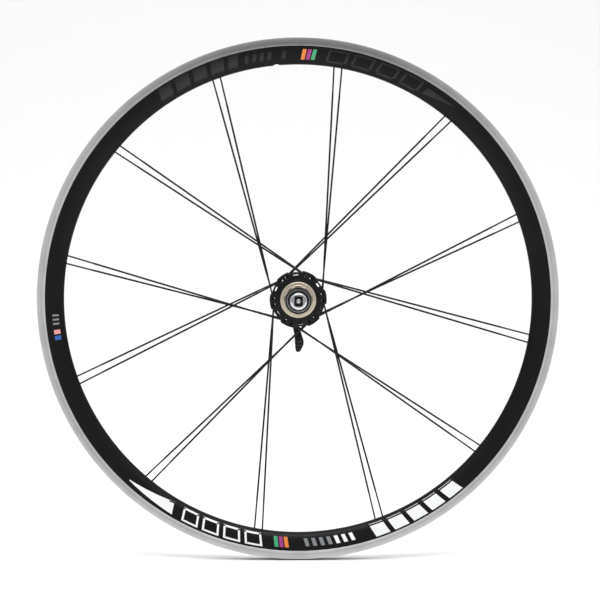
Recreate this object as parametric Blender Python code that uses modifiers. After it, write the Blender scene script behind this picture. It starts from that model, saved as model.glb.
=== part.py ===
"""Rear wheel of a road bicycle with a quick-release skewer, without tyre and sprockets.

The axle lies along Y and the rim's middle plane is the plane Y = 0, so the origin is the wheel's
centre. The drive side (freehub, skewer nut) faces -Y and the lever side faces +Y. Angles round the
axle are measured in the XZ plane, from +X towards +Z.

A pair of numbers in a turned profile is (radius, y). Pieces that touch keep a gap of CONTACT_GAP.
"""

import math

import bmesh
import bpy
from mathutils import Matrix, Vector

MM = 0.001

# ---------------------------------------------------------------------------------------------
# Sizes
# ---------------------------------------------------------------------------------------------

CONTACT_GAP = 0.3 * MM
RUNNING_GAP = 0.4 * MM

# Rim: one hollow extrusion, symmetric about Y = 0
RIM_OUTER_RADIUS = 317.0 * MM
RIM_DEPTH = 32.0 * MM
RIM_WIDTH = 20.0 * MM
BRAKE_TRACK_HEIGHT = 9.5 * MM
BEAD_SEAT_DEPTH = 6.0 * MM
BED_WELL_DEPTH = 8.3 * MM
BED_WELL_HALF_WIDTH = 4.6 * MM
BED_WALL = 1.3 * MM
TRACK_WALL = 1.5 * MM
HOOK_LIP = 0.7 * MM
HOOK_DEPTH = 2.2 * MM
BODY_WALL = 1.1 * MM
SPOKE_BED_WALL = 2.0 * MM
RIM_APEX_HALF_WIDTH = 3.2 * MM
VALVE_HOLE_RADIUS = 4.25 * MM
VALVE_ANGLE = 95.25
ACCESS_HOLE_RADIUS = 4.0 * MM
RIM_STEPS = 60
TURNED_STEPS = 24
TAPE_WIDTH = 12.5 * MM
TAPE_THICKNESS = 0.8 * MM

# Lacing: PAIR_COUNT pairs at the rim, one spoke of each pair to each flange
PAIR_COUNT = 12
FIRST_PAIR_ANGLE = 20.25
PAIR_HALF_GAP = 0.97
SPOKE_RADIUS = 1.0 * MM
SPOKE_HOLE_CLEARANCE = 0.35 * MM
CHANNEL_LENGTH = 24.0 * MM
BLADE_HALF_WIDTH = 1.15 * MM
BLADE_HALF_THICKNESS = 0.45 * MM
HUB_END_ROUND_LENGTH = 28.0 * MM
RIM_END_ROUND_LENGTH = 32.0 * MM
BLADE_BLEND_LENGTH = 6.0 * MM
HEAD_LENGTH = 1.4 * MM
HEAD_STEP = 0.5 * MM
HEAD_CONE_LENGTH = 0.7 * MM
NIPPLE_RADIUS = 2.5 * MM
NIPPLE_LENGTH = 12.0 * MM
NIPPLE_TIP_RADIUS = 2.1 * MM

# Bearings: four alike, two in the hub shell and two in the freehub
BEARING_RADIUS = 14.0 * MM
BEARING_WIDTH = 7.0 * MM

# Axle and skewer rod
AXLE_RADIUS = 7.5 * MM
STUB_RADIUS = 5.0 * MM
STUB_LENGTH = 5.0 * MM
SLEEVE_LEAD = 2.0 * MM
ROD_RADIUS = 2.5 * MM
ROD_CLEARANCE = 0.4 * MM

# Ratchet
TOOTH_COUNT = 24
TOOTH_HEIGHT = 1.3 * MM
CARRIER_RADIUS = 15.5 * MM
CARRIER_TO_TOOTH_GAP = 1.4 * MM
DRIVE_RING_WALL = 1.0 * MM
RATCHET_WALL = 3.9 * MM
RATCHET_LENGTH = 7.4 * MM
PAWL_COUNT = 3
PAWL_WIDTH = 4.6 * MM
PAWL_PIVOT_RADIUS = 1.7 * MM
PAWL_SPRING_WIRE = 0.4 * MM
PAWL_SPRING_INSET = 0.7 * MM

# Hub shell
DRIVE_FLANGE_OFFSET = 21.0 * MM
RATCHET_FLOOR_SETBACK = 2.0 * MM
LEFT_FLANGE_OFFSET = 37.0 * MM
FLANGE_SHOULDER = 5.7 * MM
LOBE_HALF_ANGLE = 15.0
LOBE_HEIGHT = 5.4 * MM
VALLEY_HEIGHT = 3.4 * MM
HEAD_ANGLE = 6.9
POCKET_CLEARANCE = 1.2 * MM
POCKET_INSET = 0.9 * MM
FLANGE_ROOT_INSET = 5.0 * MM
FLANGE_WALL = 1.3 * MM
SLOT_HALF_ANGLE = 6.5
SLOT_HALF_HEIGHT = 1.0 * MM
BARREL_RADIUS = 13.5 * MM
BARREL_WALL = 2.6 * MM
BEARING_SEAT_WALL = 2.6 * MM
BEARING_SHOULDER = 1.8 * MM

# Freehub body
FREEHUB_WALL = 1.7 * MM
SPLINE_DEPTH = 1.4 * MM
SPLINE_COUNT = 9
SPLINE_GROOVE_HALF_ANGLE = 9.0
WIDE_GROOVE_HALF_ANGLE = 13.0
SPLINE_LENGTH = 34.8 * MM
SHOULDER_STEP = 4.3 * MM
SHOULDER_WIDTH = 2.8 * MM
INNER_BEARING_SETBACK = 10.5 * MM
SEAL_THICKNESS = 0.65 * MM
FREEHUB_LIP_DEPTH = 1.8 * MM
SNAP_RING_WIDTH = 0.7 * MM
SNAP_RING_WALL = 0.75 * MM

# Ends of the hub
END_CAP_RADIUS = 12.7 * MM
END_CAP_PROUD = 4.1 * MM
LEFT_CAP_RADIUS = 11.0 * MM
COLLAR_RADIUS = 13.0 * MM
COLLAR_WIDTH = 7.5 * MM
COLLAR_SCREW_RADIUS = 1.25 * MM
DUST_SEAL_WIDTH = 1.2 * MM

# Skewer
DROPOUT_THICKNESS = 7.0 * MM
SKEWER_SLACK = 3.0 * MM
CAP_FACE_RADIUS = 10.5 * MM
NUT_FACE_RADIUS = 8.2 * MM
FACE_THICKNESS = 2.0 * MM
NUT_RADIUS = 10.0 * MM
NUT_LENGTH = 10.4 * MM
NUT_RECESS_HALF_WIDTH = 5.1 * MM
NUT_RECESS_HALF_HEIGHT = 6.2 * MM
NUT_RECESS_DEPTH = 5.0 * MM
INSERT_LENGTH = 1.6 * MM
CAP_RADIUS = 10.5 * MM
CAP_FLARE = 1.8 * MM
CAM_AXIS_SETBACK = 12.3 * MM
CAP_NOSE = 10.0 * MM
CAM_JOURNAL_RADIUS = 4.5 * MM
CAM_RADIUS = 3.0 * MM
CAM_ECCENTRICITY = 0.9 * MM
EYE_HALF_THICKNESS = 2.5 * MM
EYE_WALL = 2.0 * MM
LEVER_BOSS_RADIUS = 8.0 * MM
LEVER_BOSS_WIDTH = 5.2 * MM
LEVER_LENGTH = 70.0 * MM
LEVER_NUT_RADIUS = 4.6 * MM
LEVER_NUT_WIDTH = 3.4 * MM
SPRING_WIRE = 0.45 * MM
SPRING_TURNS = 3
SPRING_FLARE = 3.8 * MM

# ---------------------------------------------------------------------------------------------
# Places that follow from the sizes
# ---------------------------------------------------------------------------------------------

SEAT_RADIUS = RIM_OUTER_RADIUS - RIM_DEPTH + SPOKE_BED_WALL
SPOKE_CROSS_OFFSET = SPOKE_RADIUS + 0.35 * MM
CHANNEL_RADIUS = SPOKE_RADIUS + SPOKE_HOLE_CLEARANCE
HEAD_RADIUS = SPOKE_RADIUS + HEAD_STEP
POCKET_RADIUS = HEAD_RADIUS + POCKET_CLEARANCE
FLANGE_HALF_THICKNESS = SPOKE_CROSS_OFFSET + CHANNEL_RADIUS + FLANGE_WALL
LOBE_COUNT = PAIR_COUNT // 2
LOBE_PITCH = 360.0 / LOBE_COUNT
LOBE_LAG = 2.5 * 360.0 / PAIR_COUNT

BEARING_SEAT_RADIUS = BEARING_RADIUS + CONTACT_GAP
TOOTH_TIP_RADIUS = CARRIER_RADIUS + CARRIER_TO_TOOTH_GAP
TOOTH_ROOT_RADIUS = TOOTH_TIP_RADIUS + TOOTH_HEIGHT
DRIVE_RING_RADIUS = TOOTH_ROOT_RADIUS + DRIVE_RING_WALL
RATCHET_BORE_RADIUS = DRIVE_RING_RADIUS + CONTACT_GAP
RATCHET_RADIUS = RATCHET_BORE_RADIUS + RATCHET_WALL
SPOKE_LINE_OFFSET = RATCHET_RADIUS + FLANGE_SHOULDER

# Going out along -Y from the drive flange: ratchet, freehub shoulder, splines, end cap
DRIVE_FLANGE_Y = -DRIVE_FLANGE_OFFSET
RATCHET_FLOOR_Y = DRIVE_FLANGE_Y - RATCHET_FLOOR_SETBACK
RATCHET_MOUTH_Y = RATCHET_FLOOR_Y - RATCHET_LENGTH
SHOULDER_INNER_Y = RATCHET_MOUTH_Y - RUNNING_GAP
SHOULDER_OUTER_Y = SHOULDER_INNER_Y - SHOULDER_WIDTH
FREEHUB_END_Y = SHOULDER_OUTER_Y - SPLINE_LENGTH
DROPOUT_Y = -(FREEHUB_END_Y - END_CAP_PROUD)
LEFT_FLANGE_Y = LEFT_FLANGE_OFFSET
STUB_END_Y = DROPOUT_Y + STUB_LENGTH
FACE_Y = DROPOUT_Y + DROPOUT_THICKNESS + SKEWER_SLACK

FREEHUB_BORE_RADIUS = BEARING_SEAT_RADIUS
SPLINE_RADIUS = FREEHUB_BORE_RADIUS + FREEHUB_WALL + SPLINE_DEPTH
SHOULDER_RADIUS = SPLINE_RADIUS + SHOULDER_STEP
AXLE_SLEEVE_BORE = AXLE_RADIUS + CONTACT_GAP
BEARING_BORE_RADIUS = AXLE_SLEEVE_BORE
SPACER_RADIUS = BEARING_BORE_RADIUS + 1.8 * MM

OUTER_BEARING_Y = FREEHUB_END_Y + FREEHUB_LIP_DEPTH
INNER_BEARING_Y = SHOULDER_OUTER_Y - INNER_BEARING_SETBACK
DRIVE_BEARING_Y = RATCHET_FLOOR_Y + 3.0 * MM
LEFT_BEARING_Y = LEFT_FLANGE_Y + FLANGE_HALF_THICKNESS + 3.0 * MM
SLEEVE_END_Y = LEFT_BEARING_Y + BEARING_WIDTH + DUST_SEAL_WIDTH + COLLAR_WIDTH + SLEEVE_LEAD

ROD_BORE_RADIUS = ROD_RADIUS + ROD_CLEARANCE
CAM_AXIS_Y = FACE_Y + CAM_AXIS_SETBACK
CAP_END_Y = CAM_AXIS_Y + CAP_NOSE
NUT_INNER_Y = -(FACE_Y + CONTACT_GAP)
NUT_OUTER_Y = NUT_INNER_Y - NUT_LENGTH

# ---------------------------------------------------------------------------------------------
# Tools for shapes
# ---------------------------------------------------------------------------------------------

AXIS_TO_Y = (math.radians(-90.0), 0.0, 0.0)
PLAN_TO_XZ = (math.radians(90.0), 0.0, 0.0)


def clear_scene():
    for old in list(bpy.data.objects):
        bpy.data.objects.remove(old, do_unlink=True)


def new_collection(name, hidden=False):
    collection = bpy.data.collections.new(name)
    bpy.context.scene.collection.children.link(collection)
    collection.hide_render = hidden
    return collection


clear_scene()
PARTS = new_collection("rear_wheel")
CUTTERS = new_collection("rear_wheel_cutters", hidden=True)


def principled(name, color, roughness, metallic=0.0):
    material = bpy.data.materials.new(name)
    material.use_nodes = True
    shader = material.node_tree.nodes["Principled BSDF"]
    shader.inputs["Base Color"].default_value = (*color, 1.0)
    shader.inputs["Roughness"].default_value = roughness
    shader.inputs["Metallic"].default_value = metallic
    return material


BLACK_RIM = principled("black_rim", (0.012, 0.012, 0.013), 0.45)
BLACK_ANODISED = principled("black_anodised", (0.03, 0.03, 0.033), 0.4, 0.6)
BLACK_STEEL = principled("black_steel", (0.02, 0.02, 0.02), 0.35, 0.5)
BLUE_BLACK = principled("blue_black_anodised", (0.02, 0.04, 0.07), 0.3, 0.8)
TITANIUM = principled("titanium", (0.62, 0.58, 0.52), 0.35, 1.0)
BEARING_STEEL = principled("bearing_steel", (0.55, 0.55, 0.56), 0.25, 1.0)
TOOL_STEEL = principled("tool_steel", (0.3, 0.3, 0.31), 0.4, 1.0)
POLISHED = principled("polished_aluminium", (0.8, 0.8, 0.81), 0.12, 1.0)
RUBBER = principled("black_rubber", (0.015, 0.015, 0.015), 0.8)
NYLON = principled("dark_nylon", (0.05, 0.05, 0.055), 0.5)
TAPE = principled("rim_tape_cloth", (0.75, 0.73, 0.66), 0.9)


def link(name, data, material, cutter=False):
    """A new object. A cutter has no material and is left out of a render."""
    made = bpy.data.objects.new(name, data)
    (CUTTERS if cutter else PARTS).objects.link(made)
    made.hide_render = cutter
    if cutter:
        made.display_type = "WIRE"
    else:
        made.data.materials.append(material)
    return made


def clockwise(points):
    """The closed outline in the order in which a Screw makes its faces point outwards."""
    ends = zip(points, points[1:] + points[:1])
    twice_area = sum(a[0] * b[1] - b[0] * a[1] for a, b in ends)
    return points if twice_area < 0 else points[::-1]


def turn_about_y(made, steps):
    """Turns a profile in (radius, y) once round the axle."""
    made.rotation_euler = AXIS_TO_Y
    screw = made.modifiers.new("turn", "SCREW")
    screw.angle = math.radians(360.0)
    screw.steps = steps
    screw.render_steps = steps
    screw.use_merge_vertices = True
    screw.merge_threshold = 0.00005
    screw.use_smooth_shade = True
    return made


def turned(name, profile, steps, material=None, cutter=False):
    """A ring or tube: a closed profile of (radius, y), off the axis, turned about Y."""
    mesh = bpy.data.meshes.new(name)
    loop = clockwise(list(profile))
    corners = [(radius, 0.0, y) for radius, y in loop]
    edges = [(i, (i + 1) % len(loop)) for i in range(len(loop))]
    mesh.from_pydata(corners, edges, [])
    return turn_about_y(link(name, mesh, material, cutter), steps)


def ring(name, inner, outer, y_low, y_high, steps, material):
    corners = [(inner, y_low), (outer, y_low), (outer, y_high), (inner, y_high)]
    return turned(name, corners, steps, material)


def frozen(made):
    """The object as a plain mesh that looks the same, with a curve's caps welded to its sides."""
    bpy.context.view_layer.update()
    graph = bpy.context.evaluated_depsgraph_get()
    mesh = bpy.data.meshes.new_from_object(made.evaluated_get(graph))
    shape = bmesh.new()
    shape.from_mesh(mesh)
    bmesh.ops.remove_doubles(shape, verts=shape.verts, dist=0.000001)
    shape.to_mesh(mesh)
    shape.free()
    name = made.name
    place = made.matrix_world.copy()
    cutter = made.hide_render
    material = made.data.materials[0] if made.data.materials else None
    bpy.data.objects.remove(made, do_unlink=True)
    mesh.materials.clear()
    solid = link(name, mesh, material, cutter)
    solid.matrix_world = place
    return solid


def smooth(made, angle=40.0):
    made.data.shade_smooth()
    made.data.set_sharp_from_angle(angle=math.radians(angle))
    return made


def plate(name, outlines, half_thickness, y, material=None, cutter=False):
    """A flat piece facing Y: a filled outline in (x, z), with any further outlines as its holes."""
    curve = bpy.data.curves.new(name, "CURVE")
    curve.dimensions = "2D"
    curve.fill_mode = "BOTH"
    curve.extrude = half_thickness
    for outline in outlines:
        spline = curve.splines.new("POLY")
        spline.points.add(len(outline) - 1)
        for point, (x, z) in zip(spline.points, outline):
            point.co = (x, z, 0.0, 1.0)
        spline.use_cyclic_u = True
    made = link(name, curve, material, cutter)
    made.location = (0.0, y, 0.0)
    made.rotation_euler = PLAN_TO_XZ
    return frozen(made)


def cylinder(name, start, end, radius, sides, material=None, cutter=False):
    """A cylinder from one point to another."""
    start = Vector(start)
    end = Vector(end)
    along = end - start
    mesh = bpy.data.meshes.new(name)
    shape = bmesh.new()
    bmesh.ops.create_cone(
        shape, cap_ends=True, segments=sides, radius1=radius, radius2=radius, depth=along.length
    )
    shape.to_mesh(mesh)
    shape.free()
    made = link(name, mesh, material, cutter)
    turn = along.to_track_quat("Z", "Y").to_matrix().to_4x4()
    made.matrix_world = Matrix.Translation((start + end) / 2.0) @ turn
    return made


def box(name, low, high, cutter=True):
    mesh = bpy.data.meshes.new(name)
    shape = bmesh.new()
    bmesh.ops.create_cube(shape, size=1.0)
    size = Vector(high) - Vector(low)
    bmesh.ops.scale(shape, vec=size, verts=shape.verts)
    bmesh.ops.translate(shape, vec=(Vector(low) + Vector(high)) / 2.0, verts=shape.verts)
    shape.to_mesh(mesh)
    shape.free()
    return link(name, mesh, None, cutter)


def boolean(made, other, operation="DIFFERENCE"):
    """Cuts or joins another object, or all objects of a collection."""
    change = made.modifiers.new(other.name, "BOOLEAN")
    change.operation = operation
    change.solver = "EXACT"
    if isinstance(other, bpy.types.Collection):
        change.operand_type = "COLLECTION"
        change.collection = other
    else:
        change.object = other
    return made


def cutter_group(name, cutters):
    """A hidden collection that holds the cutters of one piece."""
    group = bpy.data.collections.new(name)
    group.hide_render = True
    CUTTERS.children.link(group)
    for cutter in cutters:
        CUTTERS.objects.unlink(cutter)
        group.objects.link(cutter)
    return group


def loft(name, sections, material, origin=(0.0, 0.0, 0.0)):
    """A closed body through rings of points, all with the same number of points, capped at both ends."""
    shape = bmesh.new()
    rings = [[shape.verts.new(Vector(p) - Vector(origin)) for p in section] for section in sections]
    count = len(rings[0])
    for near, far in zip(rings, rings[1:]):
        for i in range(count):
            j = (i + 1) % count
            shape.faces.new((near[i], near[j], far[j], far[i]))
    shape.faces.new(rings[0][::-1])
    shape.faces.new(rings[-1])
    bmesh.ops.recalc_face_normals(shape, faces=shape.faces)
    mesh = bpy.data.meshes.new(name)
    shape.to_mesh(mesh)
    shape.free()
    made = link(name, mesh, material)
    made.location = origin
    return smooth(made)


def wire(name, points, radius, material, resolution=1):
    """A round wire along the points, with closed ends."""
    curve = bpy.data.curves.new(name, "CURVE")
    curve.dimensions = "3D"
    curve.bevel_depth = radius
    curve.bevel_resolution = resolution
    curve.use_fill_caps = True
    spline = curve.splines.new("POLY")
    spline.points.add(len(points) - 1)
    for point, place in zip(spline.points, points):
        point.co = (*place, 1.0)
    return link(name, curve, material)


def polar(radius, degrees):
    """(x, z) at this radius and angle round the axle."""
    angle = math.radians(degrees)
    return radius * math.cos(angle), radius * math.sin(angle)


def arc(radius, start, end, count, centre=(0.0, 0.0)):
    """Points on an arc in (x, z), both ends included."""
    step = (end - start) / (count - 1)
    spots = [polar(radius, start + step * i) for i in range(count)]
    return [(centre[0] + x, centre[1] + z) for x, z in spots]


def circle(radius, count, centre=(0.0, 0.0)):
    return arc(radius, 0.0, 360.0 - 360.0 / count, count, centre)


# ---------------------------------------------------------------------------------------------
# Rim and rim tape
# ---------------------------------------------------------------------------------------------


def both_sides(half):
    """A half outline of (depth from the rim's edge, y), mirrored in Y, as (radius, y)."""
    near = [(RIM_OUTER_RADIUS - depth, y) for depth, y in half]
    return near + [(radius, -y) for radius, y in reversed(near) if y > 0.0]


def rim_outline():
    """From the middle of the tyre channel, up its wall, round the hooked edge and down the side."""
    half = RIM_WIDTH / 2.0
    channel = half - TRACK_WALL
    side_taper = RIM_DEPTH - BRAKE_TRACK_HEIGHT
    return both_sides(
        [
            (BED_WELL_DEPTH, BED_WELL_HALF_WIDTH - 0.8 * MM),
            (BEAD_SEAT_DEPTH, BED_WELL_HALF_WIDTH + 0.6 * MM),
            (BEAD_SEAT_DEPTH, channel),
            (HOOK_DEPTH, channel),
            (HOOK_DEPTH - HOOK_LIP, channel - HOOK_LIP),
            (0.0, channel - HOOK_LIP),
            (0.0, half),
            (BRAKE_TRACK_HEIGHT, half),
            (BRAKE_TRACK_HEIGHT + 0.45 * side_taper, half - 1.1 * MM),
            (BRAKE_TRACK_HEIGHT + 0.82 * side_taper, half - 3.7 * MM),
            (RIM_DEPTH, RIM_APEX_HALF_WIDTH - 1.0 * MM),
        ]
    )


def cavity_outline():
    """The hollow between the bed, the brake tracks, the body's sides and the spoke bed."""
    half = RIM_WIDTH / 2.0
    side_taper = RIM_DEPTH - BRAKE_TRACK_HEIGHT
    roof = BED_WELL_DEPTH + BED_WALL
    return both_sides(
        [
            (roof, half - TRACK_WALL),
            (BRAKE_TRACK_HEIGHT + 0.45 * side_taper, half - 1.1 * MM - BODY_WALL),
            (BRAKE_TRACK_HEIGHT + 0.8 * side_taper, half - 3.6 * MM - BODY_WALL),
            (RIM_DEPTH - SPOKE_BED_WALL, RIM_APEX_HALF_WIDTH - 0.9 * MM),
        ]
    )


def spokes():
    """(side, number, sign, rim angle) of each spoke.

    Signs alternate from pair to pair. A plus spoke leans so that, seen from the drive side, it
    leaves its flange anticlockwise. One spoke of a pair goes to each flange.
    """
    found = []
    for k in range(PAIR_COUNT):
        sign = 1 if k % 2 == 0 else -1
        middle = FIRST_PAIR_ANGLE + k * 360.0 / PAIR_COUNT
        found.append(("drive", k, sign, middle + sign * PAIR_HALF_GAP))
        found.append(("left", k, sign, middle - sign * PAIR_HALF_GAP))
    return found


def spoke_line(side, sign, angle):
    """The middle of a spoke's head, and the point where its nipple seats in the rim.

    Seen along the axle the spoke is a straight line SPOKE_LINE_OFFSET away from the centre.
    """
    lean = math.degrees(math.asin(SPOKE_LINE_OFFSET / SEAT_RADIUS))
    foot_angle = angle + sign * (lean - 90.0)
    pair_half_gap = PAIR_HALF_GAP if side == "drive" else -PAIR_HALF_GAP
    middle = angle - sign * pair_half_gap
    head_angle = middle - sign * (LOBE_LAG - HEAD_ANGLE)
    from_foot = SPOKE_LINE_OFFSET * math.tan(math.radians(abs(head_angle - foot_angle)))
    foot = Vector(polar(SPOKE_LINE_OFFSET, foot_angle))
    ahead = Vector(polar(1.0, angle + sign * lean))
    head = foot + ahead * from_foot
    outward = -1.0 if side == "drive" else 1.0
    flange_y = DRIVE_FLANGE_Y if side == "drive" else LEFT_FLANGE_Y
    head_y = flange_y + outward * sign * SPOKE_CROSS_OFFSET
    seat_x, seat_z = polar(SEAT_RADIUS, angle)
    return Vector((head.x, head_y, head.y)), Vector((seat_x, 0.0, seat_z))


def make_rim():
    rim = turned("rim", rim_outline(), RIM_STEPS, BLACK_RIM)
    boolean(rim, turned("cut_rim_cavity", cavity_outline(), RIM_STEPS, cutter=True))
    drills = []
    for number, (side, _, sign, angle) in enumerate(spokes()):
        head, seat = spoke_line(side, sign, angle)
        along = (seat - head).normalized()
        start = seat - along * (SPOKE_BED_WALL + 3.0 * MM)
        end = seat + along * 2.0 * MM
        hole = CHANNEL_RADIUS + 0.1 * MM
        drills.append(cylinder(f"cut_spoke_hole_{number:02d}", start, end, hole, 6, cutter=True))
        x, z = polar(RIM_OUTER_RADIUS - BED_WELL_DEPTH - BED_WALL - 2.0 * MM, angle)
        inner = (x, 0.0, z)
        x, z = polar(RIM_OUTER_RADIUS - BEAD_SEAT_DEPTH + 2.0 * MM, angle)
        outer = (x, 0.0, z)
        name = f"cut_access_hole_{number:02d}"
        drills.append(cylinder(name, inner, outer, ACCESS_HOLE_RADIUS, 8, cutter=True))
    drills.append(valve_drill("cut_valve_hole", VALVE_HOLE_RADIUS))
    return boolean(rim, cutter_group("rim_drills", drills))


def valve_drill(name, radius):
    x, z = polar(RIM_OUTER_RADIUS - RIM_DEPTH - 5.0 * MM, VALVE_ANGLE)
    inner = (x, 0.0, z)
    x, z = polar(RIM_OUTER_RADIUS, VALVE_ANGLE)
    return cylinder(name, inner, (x, 0.0, z), radius, 12, cutter=True)


def make_rim_tape():
    """A flat band across the well of the rim bed, over the access holes."""
    low = RIM_OUTER_RADIUS - BEAD_SEAT_DEPTH + CONTACT_GAP
    half = TAPE_WIDTH / 2.0
    corners = [(low, -half), (low + TAPE_THICKNESS, -half)]
    corners += [(low + TAPE_THICKNESS, half), (low, half)]
    tape = turned("rim_tape", corners, RIM_STEPS, TAPE)
    return boolean(tape, valve_drill("cut_tape_valve_hole", VALVE_HOLE_RADIUS))


# ---------------------------------------------------------------------------------------------
# Spokes, each with its hidden nipple
# ---------------------------------------------------------------------------------------------


def spoke_stations(length):
    """(distance from the head's inner end, half width, half thickness) along a spoke.

    The length is that from the head's inner end to the nipple's seat.
    """
    head = (HEAD_RADIUS, HEAD_RADIUS)
    round_part = (SPOKE_RADIUS, SPOKE_RADIUS)
    blade = (BLADE_HALF_WIDTH, BLADE_HALF_THICKNESS)
    blade_end = length - RIM_END_ROUND_LENGTH
    seat = length + CONTACT_GAP
    return [
        (0.0, *head),
        (HEAD_LENGTH, *head),
        (HEAD_LENGTH + HEAD_CONE_LENGTH, *round_part),
        (HUB_END_ROUND_LENGTH, *round_part),
        (HUB_END_ROUND_LENGTH + BLADE_BLEND_LENGTH, *blade),
        (blade_end - BLADE_BLEND_LENGTH, *blade),
        (blade_end, *round_part),
        (seat, *round_part),
        (seat, NIPPLE_RADIUS, NIPPLE_RADIUS),
        (seat + NIPPLE_LENGTH, NIPPLE_TIP_RADIUS, NIPPLE_TIP_RADIUS),
    ]


def make_spokes():
    """The blades lie in the wheel's plane, so the wind meets their thin side."""
    sides = 6
    for side, k, sign, angle in spokes():
        head, seat = spoke_line(side, sign, angle)
        along = (seat - head).normalized()
        start = head - along * HEAD_LENGTH / 2.0
        across = along.cross(Vector((0.0, 1.0, 0.0))).normalized()
        thick = along.cross(across)
        sections = []
        for distance, half_width, half_thickness in spoke_stations((seat - start).length):
            centre = start + along * distance
            section = []
            for i in range(sides):
                turn = math.radians(360.0 / sides * (i + 0.5))
                width = across * half_width * math.cos(turn)
                section.append(centre + width + thick * half_thickness * math.sin(turn))
            sections.append(section)
        loft(f"spoke_{side}_{k + 1:02d}", sections, BLACK_STEEL)


# ---------------------------------------------------------------------------------------------
# Hub shell, drive ring and hub bearings
# ---------------------------------------------------------------------------------------------


def lobe_middle(number):
    return FIRST_PAIR_ANGLE - LOBE_LAG + number * LOBE_PITCH


def flange_outlines(side):
    """The lobed outline, the slots between lobes and the pockets for the spoke heads."""
    lobe_radius = SPOKE_LINE_OFFSET + LOBE_HEIGHT
    valley_radius = SPOKE_LINE_OFFSET + VALLEY_HEIGHT
    outline = []
    holes = []
    for number in range(LOBE_COUNT):
        middle = lobe_middle(number)
        valley_end = middle + LOBE_PITCH - LOBE_HALF_ANGLE
        outline += arc(lobe_radius, middle - LOBE_HALF_ANGLE, middle + LOBE_HALF_ANGLE, 4)
        outline += arc(valley_radius, middle + LOBE_HALF_ANGLE + 0.5, valley_end - 0.5, 4)
        holes.append(slot_outline(middle + LOBE_PITCH / 2.0))
    for spoke_side, _, sign, angle in spokes():
        if spoke_side == side:
            holes.append(circle(POCKET_RADIUS, 8, pocket_centre(side, sign, angle)))
    return [outline] + holes


def slot_outline(middle):
    """A see-through slot that follows a circle a little outside the spoke line's offset."""
    radius = SPOKE_LINE_OFFSET + 0.3 * MM
    outer = arc(radius + SLOT_HALF_HEIGHT, middle - SLOT_HALF_ANGLE, middle + SLOT_HALF_ANGLE, 4)
    inner = arc(radius - SLOT_HALF_HEIGHT, middle + SLOT_HALF_ANGLE, middle - SLOT_HALF_ANGLE, 4)
    return outer + inner


def pocket_centre(side, sign, angle):
    """A pocket holds its spoke's head, and its centre is a little closer to the axle."""
    head, _ = spoke_line(side, sign, angle)
    centre = Vector((head.x, head.z))
    centre -= centre.normalized() * POCKET_INSET
    return centre.x, centre.y


def shell_profile():
    """Outside from the left end to the drive end, then back along the bores."""
    left_end = LEFT_BEARING_Y + BEARING_WIDTH + DUST_SEAL_WIDTH + CONTACT_GAP
    boss = BEARING_SEAT_RADIUS + BEARING_SEAT_WALL
    root = SPOKE_LINE_OFFSET - FLANGE_ROOT_INSET
    left_out = LEFT_FLANGE_Y + FLANGE_HALF_THICKNESS
    left_in = LEFT_FLANGE_Y - FLANGE_HALF_THICKNESS
    drive_in = DRIVE_FLANGE_Y + FLANGE_HALF_THICKNESS
    drive_seat = DRIVE_BEARING_Y + BEARING_WIDTH + CONTACT_GAP
    bore = BARREL_RADIUS - BARREL_WALL
    return [
        (boss, left_end),
        (boss, left_out + 2.6 * MM),
        (root, left_out + 0.5 * MM),
        (root, left_in - 0.5 * MM),
        (boss + 0.5 * MM, left_in - 3.5 * MM),
        (BARREL_RADIUS, left_in - 14.0 * MM),
        (BARREL_RADIUS, drive_seat + 6.0 * MM),
        (boss, drive_seat),
        (root, drive_in + 0.5 * MM),
        (root, DRIVE_FLANGE_Y - FLANGE_HALF_THICKNESS - 0.5 * MM),
        (RATCHET_RADIUS, DRIVE_FLANGE_Y - FLANGE_HALF_THICKNESS - 1.2 * MM),
        (RATCHET_RADIUS, RATCHET_MOUTH_Y),
        (RATCHET_BORE_RADIUS, RATCHET_MOUTH_Y),
        (RATCHET_BORE_RADIUS, RATCHET_FLOOR_Y),
        (BEARING_SEAT_RADIUS, RATCHET_FLOOR_Y),
        (BEARING_SEAT_RADIUS, drive_seat),
        (BEARING_SEAT_RADIUS - BEARING_SHOULDER, drive_seat),
        (bore, drive_seat + 4.0 * MM),
        (bore, LEFT_BEARING_Y - 4.0 * MM - CONTACT_GAP),
        (BEARING_SEAT_RADIUS - BEARING_SHOULDER, LEFT_BEARING_Y - CONTACT_GAP),
        (BEARING_SEAT_RADIUS, LEFT_BEARING_Y - CONTACT_GAP),
        (BEARING_SEAT_RADIUS, left_end),
    ]


def make_hub_shell():
    shell = turned("hub_shell", shell_profile(), TURNED_STEPS, BLACK_ANODISED)
    for side, y in (("drive", DRIVE_FLANGE_Y), ("left", LEFT_FLANGE_Y)):
        outlines = flange_outlines(side)
        inner = circle(SPOKE_LINE_OFFSET - FLANGE_ROOT_INSET - 2.0 * MM, TURNED_STEPS)
        name = f"add_flange_{side}"
        flange = plate(name, outlines + [inner], FLANGE_HALF_THICKNESS, y, cutter=True)
        boolean(shell, flange, "UNION")
    channels = []
    for number, (side, _, sign, angle) in enumerate(spokes()):
        head, seat = spoke_line(side, sign, angle)
        along = (seat - head).normalized()
        start = head
        name = f"cut_spoke_channel_{number:02d}"
        end = head + along * CHANNEL_LENGTH
        channels.append(cylinder(name, start, end, CHANNEL_RADIUS, 6, cutter=True))
    return boolean(shell, cutter_group("hub_channels", channels))


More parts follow.
